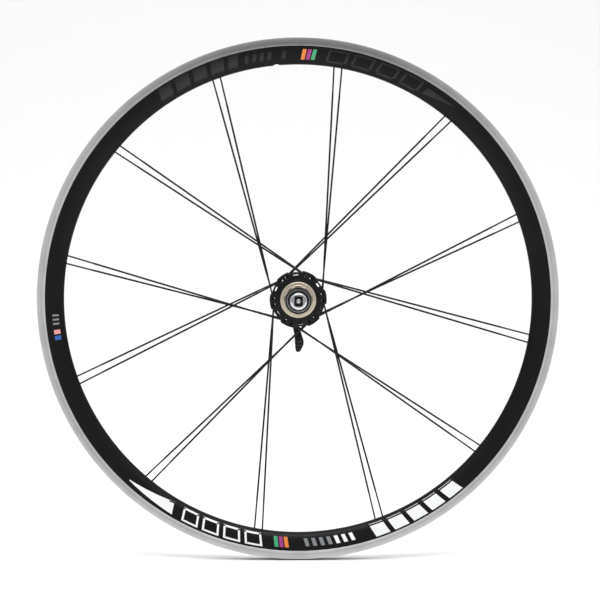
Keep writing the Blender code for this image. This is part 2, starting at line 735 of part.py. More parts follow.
def make_drive_ring():
    """A ring with saw teeth: each has a steep face and a long ramp."""
    pitch = 360.0 / TOOTH_COUNT
    teeth = []
    for number in range(TOOTH_COUNT):
        steep = 90.0 + number * pitch
        teeth.append(polar(TOOTH_TIP_RADIUS, steep))
        teeth.append(polar(TOOTH_ROOT_RADIUS, steep + 0.2))
    y_low = RATCHET_MOUTH_Y + 0.5 * MM
    y_high = RATCHET_FLOOR_Y - CONTACT_GAP
    half = (y_high - y_low) / 2.0
    outlines = [circle(DRIVE_RING_RADIUS, 36), teeth]
    return smooth(plate("drive_ring", outlines, half, (y_low + y_high) / 2.0, TOOL_STEEL), 30.0)


def make_bearing(name, y_low):
    """A sealed ball bearing, as one ring."""
    y_high = y_low + BEARING_WIDTH
    ring(name, BEARING_BORE_RADIUS, BEARING_RADIUS, y_low, y_high, TURNED_STEPS, BEARING_STEEL)


# ---------------------------------------------------------------------------------------------
# Freehub
# ---------------------------------------------------------------------------------------------

# A pawl is laid out for a steep tooth face on the +Z axis; the others are turned about the axle.
PAWL_PIVOT = (-7.5 * MM, CARRIER_RADIUS - 4.3 * MM)
PAWL_FACE_X = -1.4 * MM


def pawl_outline():
    """The pawl in (x, z): its tip against the tooth, its back, its round heel and its toe."""
    x = PAWL_PIVOT[0]
    ramp_gap = 0.85 * MM
    tip = (PAWL_FACE_X, TOOTH_ROOT_RADIUS - ramp_gap)
    back = (x + 3.2 * MM, CARRIER_RADIUS + 0.35 * MM)
    heel = arc(PAWL_PIVOT_RADIUS, 120.0, 300.0, 7, PAWL_PIVOT)
    toe = (PAWL_FACE_X, TOOTH_ROOT_RADIUS - ramp_gap - 2.0 * MM)
    return [tip, back] + heel + [toe]


def pocket_outline():
    """Room for the pawl at rest and pressed down, open to the outside of the carrier."""
    x = PAWL_PIVOT[0]
    heel = arc(PAWL_PIVOT_RADIUS + CONTACT_GAP, 130.0, 300.0, 7, PAWL_PIVOT)
    floor = (PAWL_FACE_X + 1.6 * MM, CARRIER_RADIUS - 2.6 * MM)
    mouth = (PAWL_FACE_X + 1.6 * MM, CARRIER_RADIUS + 4.0 * MM)
    back = (x - 0.9 * MM, CARRIER_RADIUS + 2.0 * MM)
    return [mouth, back] + heel + [floor]


def turned_outline(outline, degrees):
    turn = math.radians(degrees)
    cosine = math.cos(turn)
    sine = math.sin(turn)
    return [(x * cosine - z * sine, x * sine + z * cosine) for x, z in outline]


def freehub_profile():
    """Outside from the carrier to the splined end, then back along the bores."""
    bore_end = INNER_BEARING_Y + BEARING_WIDTH + CONTACT_GAP
    carrier_end = RATCHET_FLOOR_Y - 0.5 * MM
    lip = FREEHUB_BORE_RADIUS + CONTACT_GAP + SEAL_THICKNESS
    edge = 0.5 * MM
    return [
        (CARRIER_RADIUS, carrier_end),
        (CARRIER_RADIUS, SHOULDER_INNER_Y),
        (SHOULDER_RADIUS - edge, SHOULDER_INNER_Y),
        (SHOULDER_RADIUS, SHOULDER_INNER_Y - edge),
        (SHOULDER_RADIUS, SHOULDER_OUTER_Y + 2.0 * edge),
        (SHOULDER_RADIUS - 2.0 * edge, SHOULDER_OUTER_Y),
        (SPLINE_RADIUS, SHOULDER_OUTER_Y),
        (SPLINE_RADIUS, FREEHUB_END_Y + edge),
        (SPLINE_RADIUS - edge, FREEHUB_END_Y),
        (lip, FREEHUB_END_Y),
        (lip, OUTER_BEARING_Y - CONTACT_GAP),
        (FREEHUB_BORE_RADIUS, OUTER_BEARING_Y - CONTACT_GAP),
        (FREEHUB_BORE_RADIUS, bore_end),
        (AXLE_SLEEVE_BORE + 0.9 * MM, bore_end),
        (AXLE_SLEEVE_BORE + 0.9 * MM, carrier_end),
    ]


def groove_outline(middle, half_angle):
    deep = SPLINE_RADIUS - SPLINE_DEPTH
    outer = arc(SPLINE_RADIUS + 3.0 * MM, middle - half_angle, middle + half_angle, 2)
    inner = arc(deep, middle + half_angle, middle - half_angle, 3)
    return outer + inner


def make_freehub_body():
    body = turned("freehub_body", freehub_profile(), 36, TITANIUM)
    cuts = []
    groove_low = FREEHUB_END_Y - 1.0 * MM
    groove_high = SHOULDER_OUTER_Y - 0.6 * MM
    half = (groove_high - groove_low) / 2.0
    middle_y = (groove_low + groove_high) / 2.0
    for number in range(SPLINE_COUNT):
        half_angle = WIDE_GROOVE_HALF_ANGLE if number == 0 else SPLINE_GROOVE_HALF_ANGLE
        outline = groove_outline(90.0 + number * 360.0 / SPLINE_COUNT, half_angle)
        cuts.append(plate(f"cut_spline_{number}", [outline], half, middle_y, cutter=True))
    open_y = RATCHET_FLOOR_Y + 2.0 * MM
    deep_y = pawl_y() - PAWL_WIDTH / 2.0 - CONTACT_GAP
    half = (open_y - deep_y) / 2.0
    for number in range(PAWL_COUNT):
        outline = turned_outline(pocket_outline(), number * 360.0 / PAWL_COUNT)
        name = f"cut_pawl_pocket_{number}"
        cuts.append(plate(name, [outline], half, (open_y + deep_y) / 2.0, cutter=True))
    boolean(body, cutter_group("freehub_cuts", cuts))
    return boolean(body, spring_groove("cut_spring_groove", CARRIER_RADIUS + 2.0 * MM))


def pawl_y():
    return RATCHET_FLOOR_Y - 0.5 * MM - PAWL_WIDTH / 2.0 - 0.3 * MM


def spring_centre_radius():
    return CARRIER_RADIUS - PAWL_SPRING_INSET


def spring_groove(name, outer):
    """The groove round the carrier and across the pawls for their ring spring."""
    half = PAWL_SPRING_WIRE + CONTACT_GAP * 0.7
    inner = spring_centre_radius() - PAWL_SPRING_WIRE - CONTACT_GAP * 0.7
    corners = [(inner, pawl_y() - half), (outer, pawl_y() - half)]
    corners += [(outer, pawl_y() + half), (inner, pawl_y() + half)]
    return turned(name, corners, TURNED_STEPS, cutter=True)


def make_pawls():
    groove = spring_groove("cut_pawl_groove", TOOTH_ROOT_RADIUS + 2.0 * MM)
    for number in range(PAWL_COUNT):
        degrees = number * 360.0 / PAWL_COUNT
        pivot = turned_outline([PAWL_PIVOT], degrees)[0]
        outline = turned_outline(pawl_outline(), degrees)
        local = [(x - pivot[0], z - pivot[1]) for x, z in outline]
        pawl = plate(f"pawl_{number + 1}", [local], PAWL_WIDTH / 2.0, pawl_y(), TOOL_STEEL)
        pawl.location = (pivot[0], pawl_y(), pivot[1])
        boolean(pawl, groove)


def make_pawl_spring():
    """An open ring of wire that presses the pawls outwards."""
    spots = arc(spring_centre_radius(), 150.0, 150.0 + 345.0, 22)
    points = [(x, pawl_y(), z) for x, z in spots]
    return wire("pawl_spring", points, PAWL_SPRING_WIRE, TOOL_STEEL)


def make_freehub_rings():
    """Inside the open end: a rubber seal, and a light ring that holds the bearing."""
    seal_outer = FREEHUB_BORE_RADIUS + SEAL_THICKNESS
    seal_low = FREEHUB_END_Y + 0.3 * MM
    seal_high = OUTER_BEARING_Y - 2.0 * CONTACT_GAP
    seal_inner = FREEHUB_BORE_RADIUS - CONTACT_GAP
    ring("freehub_seal", seal_inner, seal_outer, seal_low, seal_high, TURNED_STEPS, RUBBER)
    snap_outer = FREEHUB_BORE_RADIUS - 2.0 * CONTACT_GAP
    snap_high = OUTER_BEARING_Y - CONTACT_GAP
    snap_low = snap_high - SNAP_RING_WIDTH
    snap_inner = snap_outer - SNAP_RING_WALL
    ring("freehub_snap_ring", snap_inner, snap_outer, snap_low, snap_high, TURNED_STEPS, BEARING_STEEL)


# ---------------------------------------------------------------------------------------------
# Axle and what is fixed to it
# ---------------------------------------------------------------------------------------------


def make_axle():
    """A thick axle with a thin stub at each end that rests in the dropout."""
    sleeve_low = OUTER_BEARING_Y + 0.5 * MM
    chamfer = 0.4 * MM
    profile = [
        (STUB_RADIUS - chamfer, STUB_END_Y),
        (STUB_RADIUS, STUB_END_Y - chamfer),
        (STUB_RADIUS, SLEEVE_END_Y),
        (AXLE_RADIUS, SLEEVE_END_Y),
        (AXLE_RADIUS, sleeve_low),
        (STUB_RADIUS, sleeve_low),
        (STUB_RADIUS, chamfer - STUB_END_Y),
        (STUB_RADIUS - chamfer, -STUB_END_Y),
        (ROD_BORE_RADIUS, -STUB_END_Y),
        (ROD_BORE_RADIUS, STUB_END_Y),
    ]
    return turned("axle", profile, TURNED_STEPS, TOOL_STEEL)


def make_end_cap_drive():
    """A locknut: a flange with the dropout face, and a nose that presses on the bearing's race."""
    bore = STUB_RADIUS + CONTACT_GAP
    seat = OUTER_BEARING_Y - CONTACT_GAP
    nose = BEARING_BORE_RADIUS + 1.2 * MM
    flange_back = FREEHUB_END_Y - 0.5 * MM
    chamfer = 0.6 * MM
    profile = [
        (bore, seat),
        (nose, seat),
        (nose, flange_back),
        (END_CAP_RADIUS, flange_back),
        (END_CAP_RADIUS, chamfer - DROPOUT_Y),
        (END_CAP_RADIUS - chamfer, -DROPOUT_Y),
        (bore, -DROPOUT_Y),
    ]
    return turned("end_cap_drive", profile, TURNED_STEPS, BLUE_BLACK)


def make_left_end():
    """Dust seal, clamped preload collar and left end cap, in that order along the axle."""
    seal_y = LEFT_BEARING_Y + BEARING_WIDTH + CONTACT_GAP
    seal_inner = AXLE_SLEEVE_BORE + 0.3 * MM
    seal_outer = BEARING_SEAT_RADIUS - RUNNING_GAP
    ring("left_dust_seal", seal_inner, seal_outer, seal_y, seal_y + DUST_SEAL_WIDTH, TURNED_STEPS, RUBBER)
    collar_y = seal_y + DUST_SEAL_WIDTH + CONTACT_GAP + 0.4 * MM
    collar_end = collar_y + COLLAR_WIDTH
    bore = AXLE_SLEEVE_BORE
    collar = ring("preload_collar", bore, COLLAR_RADIUS, collar_y, collar_end, TURNED_STEPS, BLACK_ANODISED)
    middle_y = (collar_y + collar_end) / 2.0
    slit = box(
        "cut_collar_slit",
        (-0.5 * MM, collar_y - 1.0 * MM, 0.0),
        (0.5 * MM, collar_end + 1.0 * MM, COLLAR_RADIUS + 2.0 * MM),
    )
    boolean(collar, slit)
    screw_z = (AXLE_SLEEVE_BORE + COLLAR_RADIUS) / 2.0 + 0.2 * MM
    reach = 4.6 * MM
    hole_radius = COLLAR_SCREW_RADIUS + CONTACT_GAP
    hole = cylinder(
        "cut_collar_screw_hole",
        (-reach, middle_y, screw_z),
        (COLLAR_RADIUS + 2.0 * MM, middle_y, screw_z),
        hole_radius,
        8,
        cutter=True,
    )
    boolean(collar, hole)
    start = (-reach + CONTACT_GAP, middle_y, screw_z)
    end = (reach, middle_y, screw_z)
    cylinder("collar_screw", start, end, COLLAR_SCREW_RADIUS, 8, BEARING_STEEL)
    cap_y = collar_end + CONTACT_GAP
    bore = STUB_RADIUS + CONTACT_GAP
    chamfer = 0.6 * MM
    profile = [
        (bore, DROPOUT_Y),
        (LEFT_CAP_RADIUS - chamfer, DROPOUT_Y),
        (LEFT_CAP_RADIUS, DROPOUT_Y - chamfer),
        (LEFT_CAP_RADIUS, cap_y),
        (AXLE_SLEEVE_BORE, cap_y),
        (AXLE_SLEEVE_BORE, SLEEVE_END_Y + CONTACT_GAP),
        (bore, SLEEVE_END_Y + CONTACT_GAP),
    ]
    turned("end_cap_left", profile, TURNED_STEPS, BLACK_ANODISED)


def make_axle_spacers():
    """Tubes that keep the inner races apart."""
    low = OUTER_BEARING_Y + BEARING_WIDTH + CONTACT_GAP
    high = INNER_BEARING_Y - CONTACT_GAP
    ring("bearing_spacer", AXLE_SLEEVE_BORE, SPACER_RADIUS, low, high, TURNED_STEPS, TOOL_STEEL)
    low = INNER_BEARING_Y + BEARING_WIDTH + CONTACT_GAP
    high = DRIVE_BEARING_Y - CONTACT_GAP
    outer = AXLE_SLEEVE_BORE + 0.5 * MM
    ring("freehub_spacer", AXLE_SLEEVE_BORE, outer, low, high, TURNED_STEPS, TOOL_STEEL)


# ---------------------------------------------------------------------------------------------
# Skewer
# ---------------------------------------------------------------------------------------------


def eye_half_sizes():
    """Half sizes of the eye's hole along Y and Z, for the cam's whole throw."""
    return CAM_RADIUS + 0.45 * MM, CAM_RADIUS + CAM_ECCENTRICITY + CONTACT_GAP


def rounded_rectangle(half_x, half_z, radius, centre=(0.0, 0.0), count=4):
    outline = []
    for quarter in range(4):
        sign_x = 1.0 if quarter in (0, 3) else -1.0
        sign_z = 1.0 if quarter in (0, 1) else -1.0
        corner = (centre[0] + sign_x * (half_x - radius), centre[1] + sign_z * (half_z - radius))
        outline += arc(radius, quarter * 90.0, quarter * 90.0 + 90.0, count, corner)
    return outline


def make_skewer_rod():
    """A threaded rod whose flat eye the cam shaft passes through."""
    centre_y = CAM_AXIS_Y + CAM_ECCENTRICITY
    hole_y, hole_z = eye_half_sizes()
    outer = rounded_rectangle(hole_z + EYE_WALL, hole_y + EYE_WALL, 3.0 * MM, (0.0, 0.0))
    hole = rounded_rectangle(hole_z, hole_y, min(CAM_RADIUS, hole_y) * 0.9, (0.0, 0.0))
    eye = plate("add_rod_eye", [outer, hole], EYE_HALF_THICKNESS, 0.0, cutter=True)
    upright = Matrix.Rotation(math.radians(-90.0), 4, "Y")
    eye.matrix_world = Matrix.Translation((0.0, centre_y, 0.0)) @ upright
    start = (0.0, -rod_end(), 0.0)
    end = (0.0, centre_y - hole_y - 0.5 * EYE_WALL, 0.0)
    rod = cylinder("skewer_rod", start, end, ROD_RADIUS, 16, BEARING_STEEL)
    return boolean(rod, eye, "UNION")


def rod_end():
    """How far the rod reaches past the centre towards the nut: into the nut's recess."""
    return -NUT_OUTER_Y - 0.35 * NUT_RECESS_DEPTH


def make_skewer_cap():
    """The cam housing: a turned cap with a chamber for the eye and a cross bore for the cam shaft."""
    base_y = FACE_Y + CONTACT_GAP
    seat_y = FACE_Y + FACE_THICKNESS + CONTACT_GAP
    base = CAP_RADIUS + CAP_FLARE
    bore = CAP_FACE_RADIUS + CONTACT_GAP
    cap = turned_solid(
        "skewer_cap",
        [
            (0.0, CAP_END_Y),
            (CAP_RADIUS * 0.45, CAP_END_Y - 0.2 * MM),
            (CAP_RADIUS * 0.8, CAP_END_Y - 1.4 * MM),
            (CAP_RADIUS, CAP_END_Y - 4.0 * MM),
            (CAP_RADIUS, CAM_AXIS_Y - LEVER_BOSS_RADIUS - CONTACT_GAP),
            (base, base_y + 1.2 * MM),
            (base, base_y),
            (bore, base_y),
            (bore, seat_y),
            (0.0, seat_y),
        ],
        TURNED_STEPS,
        BLACK_ANODISED,
    )
    hole_y, hole_z = eye_half_sizes()
    reach_y = hole_y + EYE_WALL + RUNNING_GAP
    reach_z = hole_z + EYE_WALL + RUNNING_GAP
    half_x = EYE_HALF_THICKNESS + CONTACT_GAP
    top = CAM_AXIS_Y + CAM_ECCENTRICITY + reach_y
    chamber = box("cut_eye_chamber", (-half_x, seat_y - 1.0 * MM, -reach_z), (half_x, top, reach_z))
    boolean(cap, chamber)
    reach = CAP_RADIUS + 4.0 * MM
    bore_radius = CAM_JOURNAL_RADIUS + CONTACT_GAP
    cross = cylinder(
        "cut_cam_bore",
        (-reach, CAM_AXIS_Y, 0.0),
        (reach, CAM_AXIS_Y, 0.0),
        bore_radius,
        16,
        cutter=True,
    )
    return boolean(cap, cross)


def turned_solid(name, profile, steps, material):
    """A solid turned about Y from an open profile that starts and ends on the axis.

    The profile runs from the +Y end down the outside.
    """
    mesh = bpy.data.meshes.new(name)
    corners = [(radius, 0.0, y) for radius, y in profile]
    edges = [(i, i + 1) for i in range(len(profile) - 1)]
    mesh.from_pydata(corners, edges, [])
    return turn_about_y(link(name, mesh, material), steps)


def make_faces():
    """The steel rings that bite the dropouts, one in the cap and one on the nut."""
    bore = ROD_RADIUS + 0.5 * MM
    far_y = FACE_Y + FACE_THICKNESS
    ring("skewer_cap_face", bore, CAP_FACE_RADIUS, FACE_Y, far_y, TURNED_STEPS, TOOL_STEEL)
    ring("nut_face", bore, NUT_FACE_RADIUS, -far_y, -FACE_Y, TURNED_STEPS, TOOL_STEEL)


def make_cam_shaft():
    """Two journals with an eccentric between them, inside the rod's eye, and a stud for the nut.

    With the lever closed the eccentric points away from the wheel and holds the rod pulled.
    """
    sides = 16
    half_eye = EYE_HALF_THICKNESS + CONTACT_GAP + 0.2 * MM
    boss_end = lever_boss_x()[0] - 0.3 * MM
    journal_end = CAP_RADIUS + 0.2 * MM
    stations = [
        (boss_end, CAM_JOURNAL_RADIUS, 0.0),
        (-half_eye, CAM_JOURNAL_RADIUS, 0.0),
        (-half_eye, CAM_RADIUS, CAM_ECCENTRICITY),
        (half_eye, CAM_RADIUS, CAM_ECCENTRICITY),
        (half_eye, CAM_JOURNAL_RADIUS, 0.0),
        (journal_end, CAM_JOURNAL_RADIUS, 0.0),
        (journal_end, CAM_JOURNAL_RADIUS * 0.5, 0.0),
        (journal_end + LEVER_NUT_WIDTH, CAM_JOURNAL_RADIUS * 0.5, 0.0),
    ]
    sections = []
    for x, radius, shift in stations:
        spots = circle(radius, sides)
        sections.append([(x, CAM_AXIS_Y + shift + u, v) for u, v in spots])
    return loft("cam_shaft", sections, BEARING_STEEL, origin=(0.0, CAM_AXIS_Y, 0.0))


def lever_boss_x():
    """The lever's boss lies beside the cap, on the -X side."""
    inner = -(CAP_RADIUS + 0.7 * MM)
    return inner - LEVER_BOSS_WIDTH, inner


def lever_stations():
    """(share of the length, x of the middle, width, y of the middle, thickness) down the lever.

    The arm leaves the boss beside the cap, sweeps to the middle, swells to a leaf with its
    corner on the +X side, and ends in a narrow blunt tip.
    """
    boss_x = sum(lever_boss_x()) / 2.0
    return [
        (0.06, boss_x, 4.6 * MM, 0.0, 6.0 * MM),
        (0.17, boss_x + 0.7 * MM, 6.2 * MM, 0.6 * MM, 5.6 * MM),
        (0.29, boss_x + 3.2 * MM, 7.6 * MM, 1.5 * MM, 4.8 * MM),
        (0.43, -6.0 * MM, 8.6 * MM, 2.2 * MM, 4.4 * MM),
        (0.57, -1.5 * MM, 8.8 * MM, 2.2 * MM, 4.2 * MM),
        (0.71, 0.9 * MM, 10.0 * MM, 1.4 * MM, 4.2 * MM),
        (0.83, 2.3 * MM, 11.3 * MM, 0.0, 4.6 * MM),
        (0.88, 2.1 * MM, 10.4 * MM, -0.8 * MM, 3.6 * MM),
        (0.95, 1.1 * MM, 7.4 * MM, -2.0 * MM, 3.0 * MM),
        (1.0, 0.6 * MM, 4.4 * MM, -2.6 * MM, 2.4 * MM),
    ]


def make_lever():
    sides = 12
    sections = []
    for share, x, width, y, thickness in lever_stations():
        section = []
        for i in range(sides):
            turn = math.radians(360.0 / sides * (i + 0.5))
            cosine = math.copysign(abs(math.cos(turn)) ** 0.6, math.cos(turn))
            sine = math.copysign(abs(math.sin(turn)) ** 0.6, math.sin(turn))
            across = x + width / 2.0 * cosine
            through = CAM_AXIS_Y + y + thickness / 2.0 * sine
            section.append((across, through, -LEVER_LENGTH * share))
        sections.append(section)
    centre = (0.0, CAM_AXIS_Y, 0.0)
    lever = loft("lever", sections, BLACK_ANODISED, origin=centre)
    low_x, high_x = lever_boss_x()
    start = (low_x, CAM_AXIS_Y, 0.0)
    end = (high_x, CAM_AXIS_Y, 0.0)
    boss = cylinder("add_lever_boss", start, end, LEVER_BOSS_RADIUS, 20, cutter=True)
    boolean(lever, boss, "UNION")
    start = (low_x - 2.0 * MM, CAM_AXIS_Y, 0.0)
    end = (high_x + 2.0 * MM, CAM_AXIS_Y, 0.0)
    hole_radius = CAM_JOURNAL_RADIUS + CONTACT_GAP
    boolean(lever, cylinder("cut_lever_hole", start, end, hole_radius, 16, cutter=True))
    return lever


def make_lever_nut():
    """The small dome nut that keeps the cam shaft in the cap."""
    start_x = CAP_RADIUS + 0.5 * MM
    stud = CAM_JOURNAL_RADIUS * 0.5 + CONTACT_GAP
    start = (start_x, CAM_AXIS_Y, 0.0)
    end = (start_x + LEVER_NUT_WIDTH, CAM_AXIS_Y, 0.0)
    nut = cylinder("lever_nut", start, end, LEVER_NUT_RADIUS, 16, BLACK_ANODISED)
    far = (end[0] + 2.0 * MM, CAM_AXIS_Y, 0.0)
    near = (start_x - 2.0 * MM, CAM_AXIS_Y, 0.0)
    return boolean(nut, cylinder("cut_lever_nut_bore", near, far, stud, 12, cutter=True))


def make_nut():
    """A turned nut with a deep recess in its outer end, where the rod's end shows."""
    bore = ROD_RADIUS + CONTACT_GAP
    skirt = NUT_FACE_RADIUS + CONTACT_GAP
    seat_y = -FACE_Y - FACE_THICKNESS - CONTACT_GAP
    chamfer = 1.2 * MM
    profile = [
        (skirt, NUT_INNER_Y),
        (NUT_RADIUS, NUT_INNER_Y),
        (NUT_RADIUS, NUT_OUTER_Y + 2.0 * chamfer),
        (NUT_RADIUS - chamfer, NUT_OUTER_Y),
        (bore, NUT_OUTER_Y),
        (bore, seat_y),
        (skirt, seat_y),
    ]
    nut = turned("nut", profile, TURNED_STEPS, POLISHED)
    outline = rounded_rectangle(NUT_RECESS_HALF_WIDTH, NUT_RECESS_HALF_HEIGHT, 2.4 * MM)
    middle = NUT_OUTER_Y
    recess = plate("cut_nut_recess", [outline], NUT_RECESS_DEPTH, middle, cutter=True)
    boolean(nut, recess)
    floor_y = NUT_OUTER_Y + NUT_RECESS_DEPTH
    insert_outer = NUT_RECESS_HALF_WIDTH - CONTACT_GAP
    low = floor_y - CONTACT_GAP - INSERT_LENGTH
    ring("nut_insert", bore, insert_outer, low, floor_y - CONTACT_GAP, TURNED_STEPS, NYLON)


def conical_spring(name, near_y, far_y, material):
    """A spring round the rod that widens away from the axle's end, so its turns lie flat when pressed."""
    per_turn = 8
    count = SPRING_TURNS * per_turn
    narrow = ROD_RADIUS + ROD_CLEARANCE + 2.0 * SPRING_WIRE
    toward = 1.0 if far_y > near_y else -1.0
    start = near_y + toward * (SPRING_WIRE + CONTACT_GAP)
    end = far_y - toward * (SPRING_WIRE + CONTACT_GAP)
    points = []
    for i in range(count + 1):
        share = i / count
        radius = narrow + SPRING_FLARE * share
        x, z = polar(radius, 90.0 + 360.0 / per_turn * i)
        points.append((x, start + (end - start) * share, z))
    return wire(name, points, SPRING_WIRE, material)


def make_springs():
    conical_spring("spring_left", STUB_END_Y, FACE_Y, BEARING_STEEL)
    conical_spring("spring_drive", -STUB_END_Y, -FACE_Y, BEARING_STEEL)


# ---------------------------------------------------------------------------------------------
# Build
# ---------------------------------------------------------------------------------------------


def main():
    make_rim()
    make_rim_tape()
    make_spokes()
    make_hub_shell()
    make_drive_ring()
    make_bearing("hub_bearing_drive", DRIVE_BEARING_Y)
    make_bearing("hub_bearing_left", LEFT_BEARING_Y)
    make_freehub_body()
    make_bearing("freehub_bearing_outer", OUTER_BEARING_Y)
    make_bearing("freehub_bearing_inner", INNER_BEARING_Y)
    make_pawls()
    make_pawl_spring()
    make_freehub_rings()
    make_axle()
    make_axle_spacers()
    make_end_cap_drive()
    make_left_end()
    make_skewer_rod()
    make_skewer_cap()
    make_faces()
    make_cam_shaft()
    make_lever()
    make_lever_nut()
    make_nut()
    make_springs()


main()
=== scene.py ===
"""Looks of a quick-release rear wheel for a tandem bicycle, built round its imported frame.

The frame gives the solids, bodies and joints. This script puts finely shaped pieces in the place
of the plain solids, gives every piece a procedural finish, and sets up floor, lights and camera.
All lengths are in metres. The axle lies along Y, with the freehub on the -Y side, and +Z is up.
Angles round the axle are in degrees from +X towards +Z.
"""

import logging
import math
from dataclasses import dataclass, field
from enum import Enum

import bmesh
import bpy
import numpy as np
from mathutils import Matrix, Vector


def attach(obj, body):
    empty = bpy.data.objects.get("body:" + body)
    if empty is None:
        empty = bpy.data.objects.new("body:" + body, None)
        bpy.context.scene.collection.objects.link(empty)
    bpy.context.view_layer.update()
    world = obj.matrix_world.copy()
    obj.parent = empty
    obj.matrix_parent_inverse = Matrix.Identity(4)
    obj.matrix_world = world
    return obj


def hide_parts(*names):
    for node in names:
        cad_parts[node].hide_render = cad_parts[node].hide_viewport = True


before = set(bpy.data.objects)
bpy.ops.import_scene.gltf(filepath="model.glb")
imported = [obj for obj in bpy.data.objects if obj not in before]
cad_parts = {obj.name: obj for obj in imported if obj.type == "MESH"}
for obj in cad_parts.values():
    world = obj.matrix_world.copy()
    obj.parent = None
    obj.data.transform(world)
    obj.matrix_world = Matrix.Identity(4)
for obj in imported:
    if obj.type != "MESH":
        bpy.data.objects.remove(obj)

logging.basicConfig(level=logging.INFO, format="%(message)s")
LOG = logging.getLogger("rear_wheel")

MM = 0.001
Colour = tuple[float, float, float]
NO_LIGHT: Colour = (0.0, 0.0, 0.0)


class Side(Enum):
    """The two sides of the wheel, by the sign of Y."""

    DRIVE = -1.0
    LEFT = 1.0


class Lines(Enum):
    """Which machining lines run over a finish."""

    NONE = 0
    TURNED = 1


# ---------------------------------------------------------------------------------------------
# Shapes
# ---------------------------------------------------------------------------------------------


def rounded(corners: list[tuple[float, float]], radius: float | list[float], count: int = 3) -> np.ndarray:
    """A closed outline with its corners rounded.

    Each corner C becomes the curve (1-s)^2 A + 2 s (1-s) C + s^2 B, where A and B lie on its two
    edges, at the stated distance but no further than 46% of the edge.

    Args:
        corners: the outline's corners, in order.
        radius: how far from the corner the rounding starts, one for all or one for each.
        count: points in each rounding.

    Returns:
        An array of len(corners) * count points.
    """
    c = np.asarray(corners, float)
    reach = np.broadcast_to(np.asarray(radius, float), (len(c),))[:, None]
    before = np.roll(c, 1, axis=0) - c
    after = np.roll(c, -1, axis=0) - c
    long_before = np.linalg.norm(before, axis=1, keepdims=True)
    long_after = np.linalg.norm(after, axis=1, keepdims=True)
    a = c + before / long_before * np.minimum(reach, 0.46 * long_before)
    b = c + after / long_after * np.minimum(reach, 0.46 * long_after)
    s = np.linspace(0.0, 1.0, count)[None, :, None]
    curve = (1 - s) ** 2 * a[:, None] + 2 * s * (1 - s) * c[:, None] + s**2 * b[:, None]
    return curve.reshape(-1, 2)


def grid_faces(rows: int, columns: int, close_rows: bool, close_columns: bool) -> np.ndarray:
    """Quads of a grid of points numbered row by row.

    Args:
        rows: number of rows.
        columns: points in each row.
        close_rows: whether the last row joins the first.
        close_columns: whether each row's last point joins its first.

    Returns:
        An array of quads, four point numbers each.
    """
    i = np.arange(rows if close_rows else rows - 1)[:, None]
    j = np.arange(columns if close_columns else columns - 1)[None, :]
    i2, j2 = (i + 1) % rows, (j + 1) % columns
    quads = [i * columns + j, i * columns + j2, i2 * columns + j2, i2 * columns + j]
    return np.stack(np.broadcast_arrays(*quads), axis=-1).reshape(-1, 4)


def signed_volume(points: np.ndarray, quads: np.ndarray) -> float:
    """Six times the volume inside the quads, positive when they face outwards."""
    a, b, c, d = (points[quads[:, i]] for i in range(4))
    return float((a * np.cross(b, c)).sum() + (a * np.cross(c, d)).sum())


def make_object(
    name: str,
    points: np.ndarray,
    quads: np.ndarray,
    caps: list[list[int]] | None = None,
    crease: float = 32.0,
) -> bpy.types.Object:
    """A mesh object from points, quads and end caps, smooth except at its creases.

    Args:
        name: the object's name.
        points: an (n, 3) array in metres.
        quads: an (m, 4) array of point numbers.
        caps: further polygons, as lists of point numbers.
        crease: edges sharper than this many degrees stay sharp.

    Returns:
        The linked object.
    """
    mesh = bpy.data.meshes.new(name)
    mesh.from_pydata(points, [], quads.tolist() + (caps or []))
    work = bmesh.new()
    work.from_mesh(mesh)
    bmesh.ops.remove_doubles(work, verts=work.verts, dist=1e-7)
    bmesh.ops.dissolve_degenerate(work, edges=work.edges, dist=1e-8)
    bmesh.ops.recalc_face_normals(work, faces=work.faces)
    work.to_mesh(mesh)
    work.free()
    soften(mesh, crease)
    made = bpy.data.objects.new(name, mesh)
    bpy.context.scene.collection.objects.link(made)
    return made


def skin(name: str, points: np.ndarray, closed: bool = False, crease: float = 32.0) -> bpy.types.Object:
    """A mesh over rows of points, each row a closed ring.

    Args:
        name: the object's name.
        points: an array of rows, points and coordinates.
        closed: whether the last row joins the first. Otherwise the end rows are capped.
        crease: edges sharper than this many degrees stay sharp.

    Returns:
        The object.
    """
    rows, columns = points.shape[:2]
    last = (rows - 1) * columns
    caps = None if closed else [list(range(columns))[::-1], [last + i for i in range(columns)]]
    return make_object(name, points.reshape(-1, 3), grid_faces(rows, columns, closed, True), caps, crease)


def face_middles(piece: bpy.types.Object) -> np.ndarray:
    """The middle of each face, an (n, 3) array."""
    middles = np.empty(len(piece.data.polygons) * 3)
    piece.data.polygons.foreach_get("center", middles)
    return middles.reshape(-1, 3)


def full_turn(steps: int) -> np.ndarray:
    """Angles in radians, evenly round a circle."""
    return np.linspace(0.0, 2.0 * np.pi, steps, endpoint=False)


def soften(mesh: bpy.types.Mesh, crease: float = 32.0) -> None:
    """Smooth shading with sharp edges above an angle."""
    mesh.polygons.foreach_set("use_smooth", np.ones(len(mesh.polygons), bool))
    mesh.set_sharp_from_angle(angle=math.radians(crease))
    mesh.update()


def ring_points(outline: np.ndarray, steps: int) -> np.ndarray:
    """An outline of (radius, y) turned about the axle: (radius cos t, y, radius sin t)."""
    turn = full_turn(steps)[:, None]
    return round_axle(outline[None, :, 0], outline[None, :, 1], turn).reshape(-1, 3)


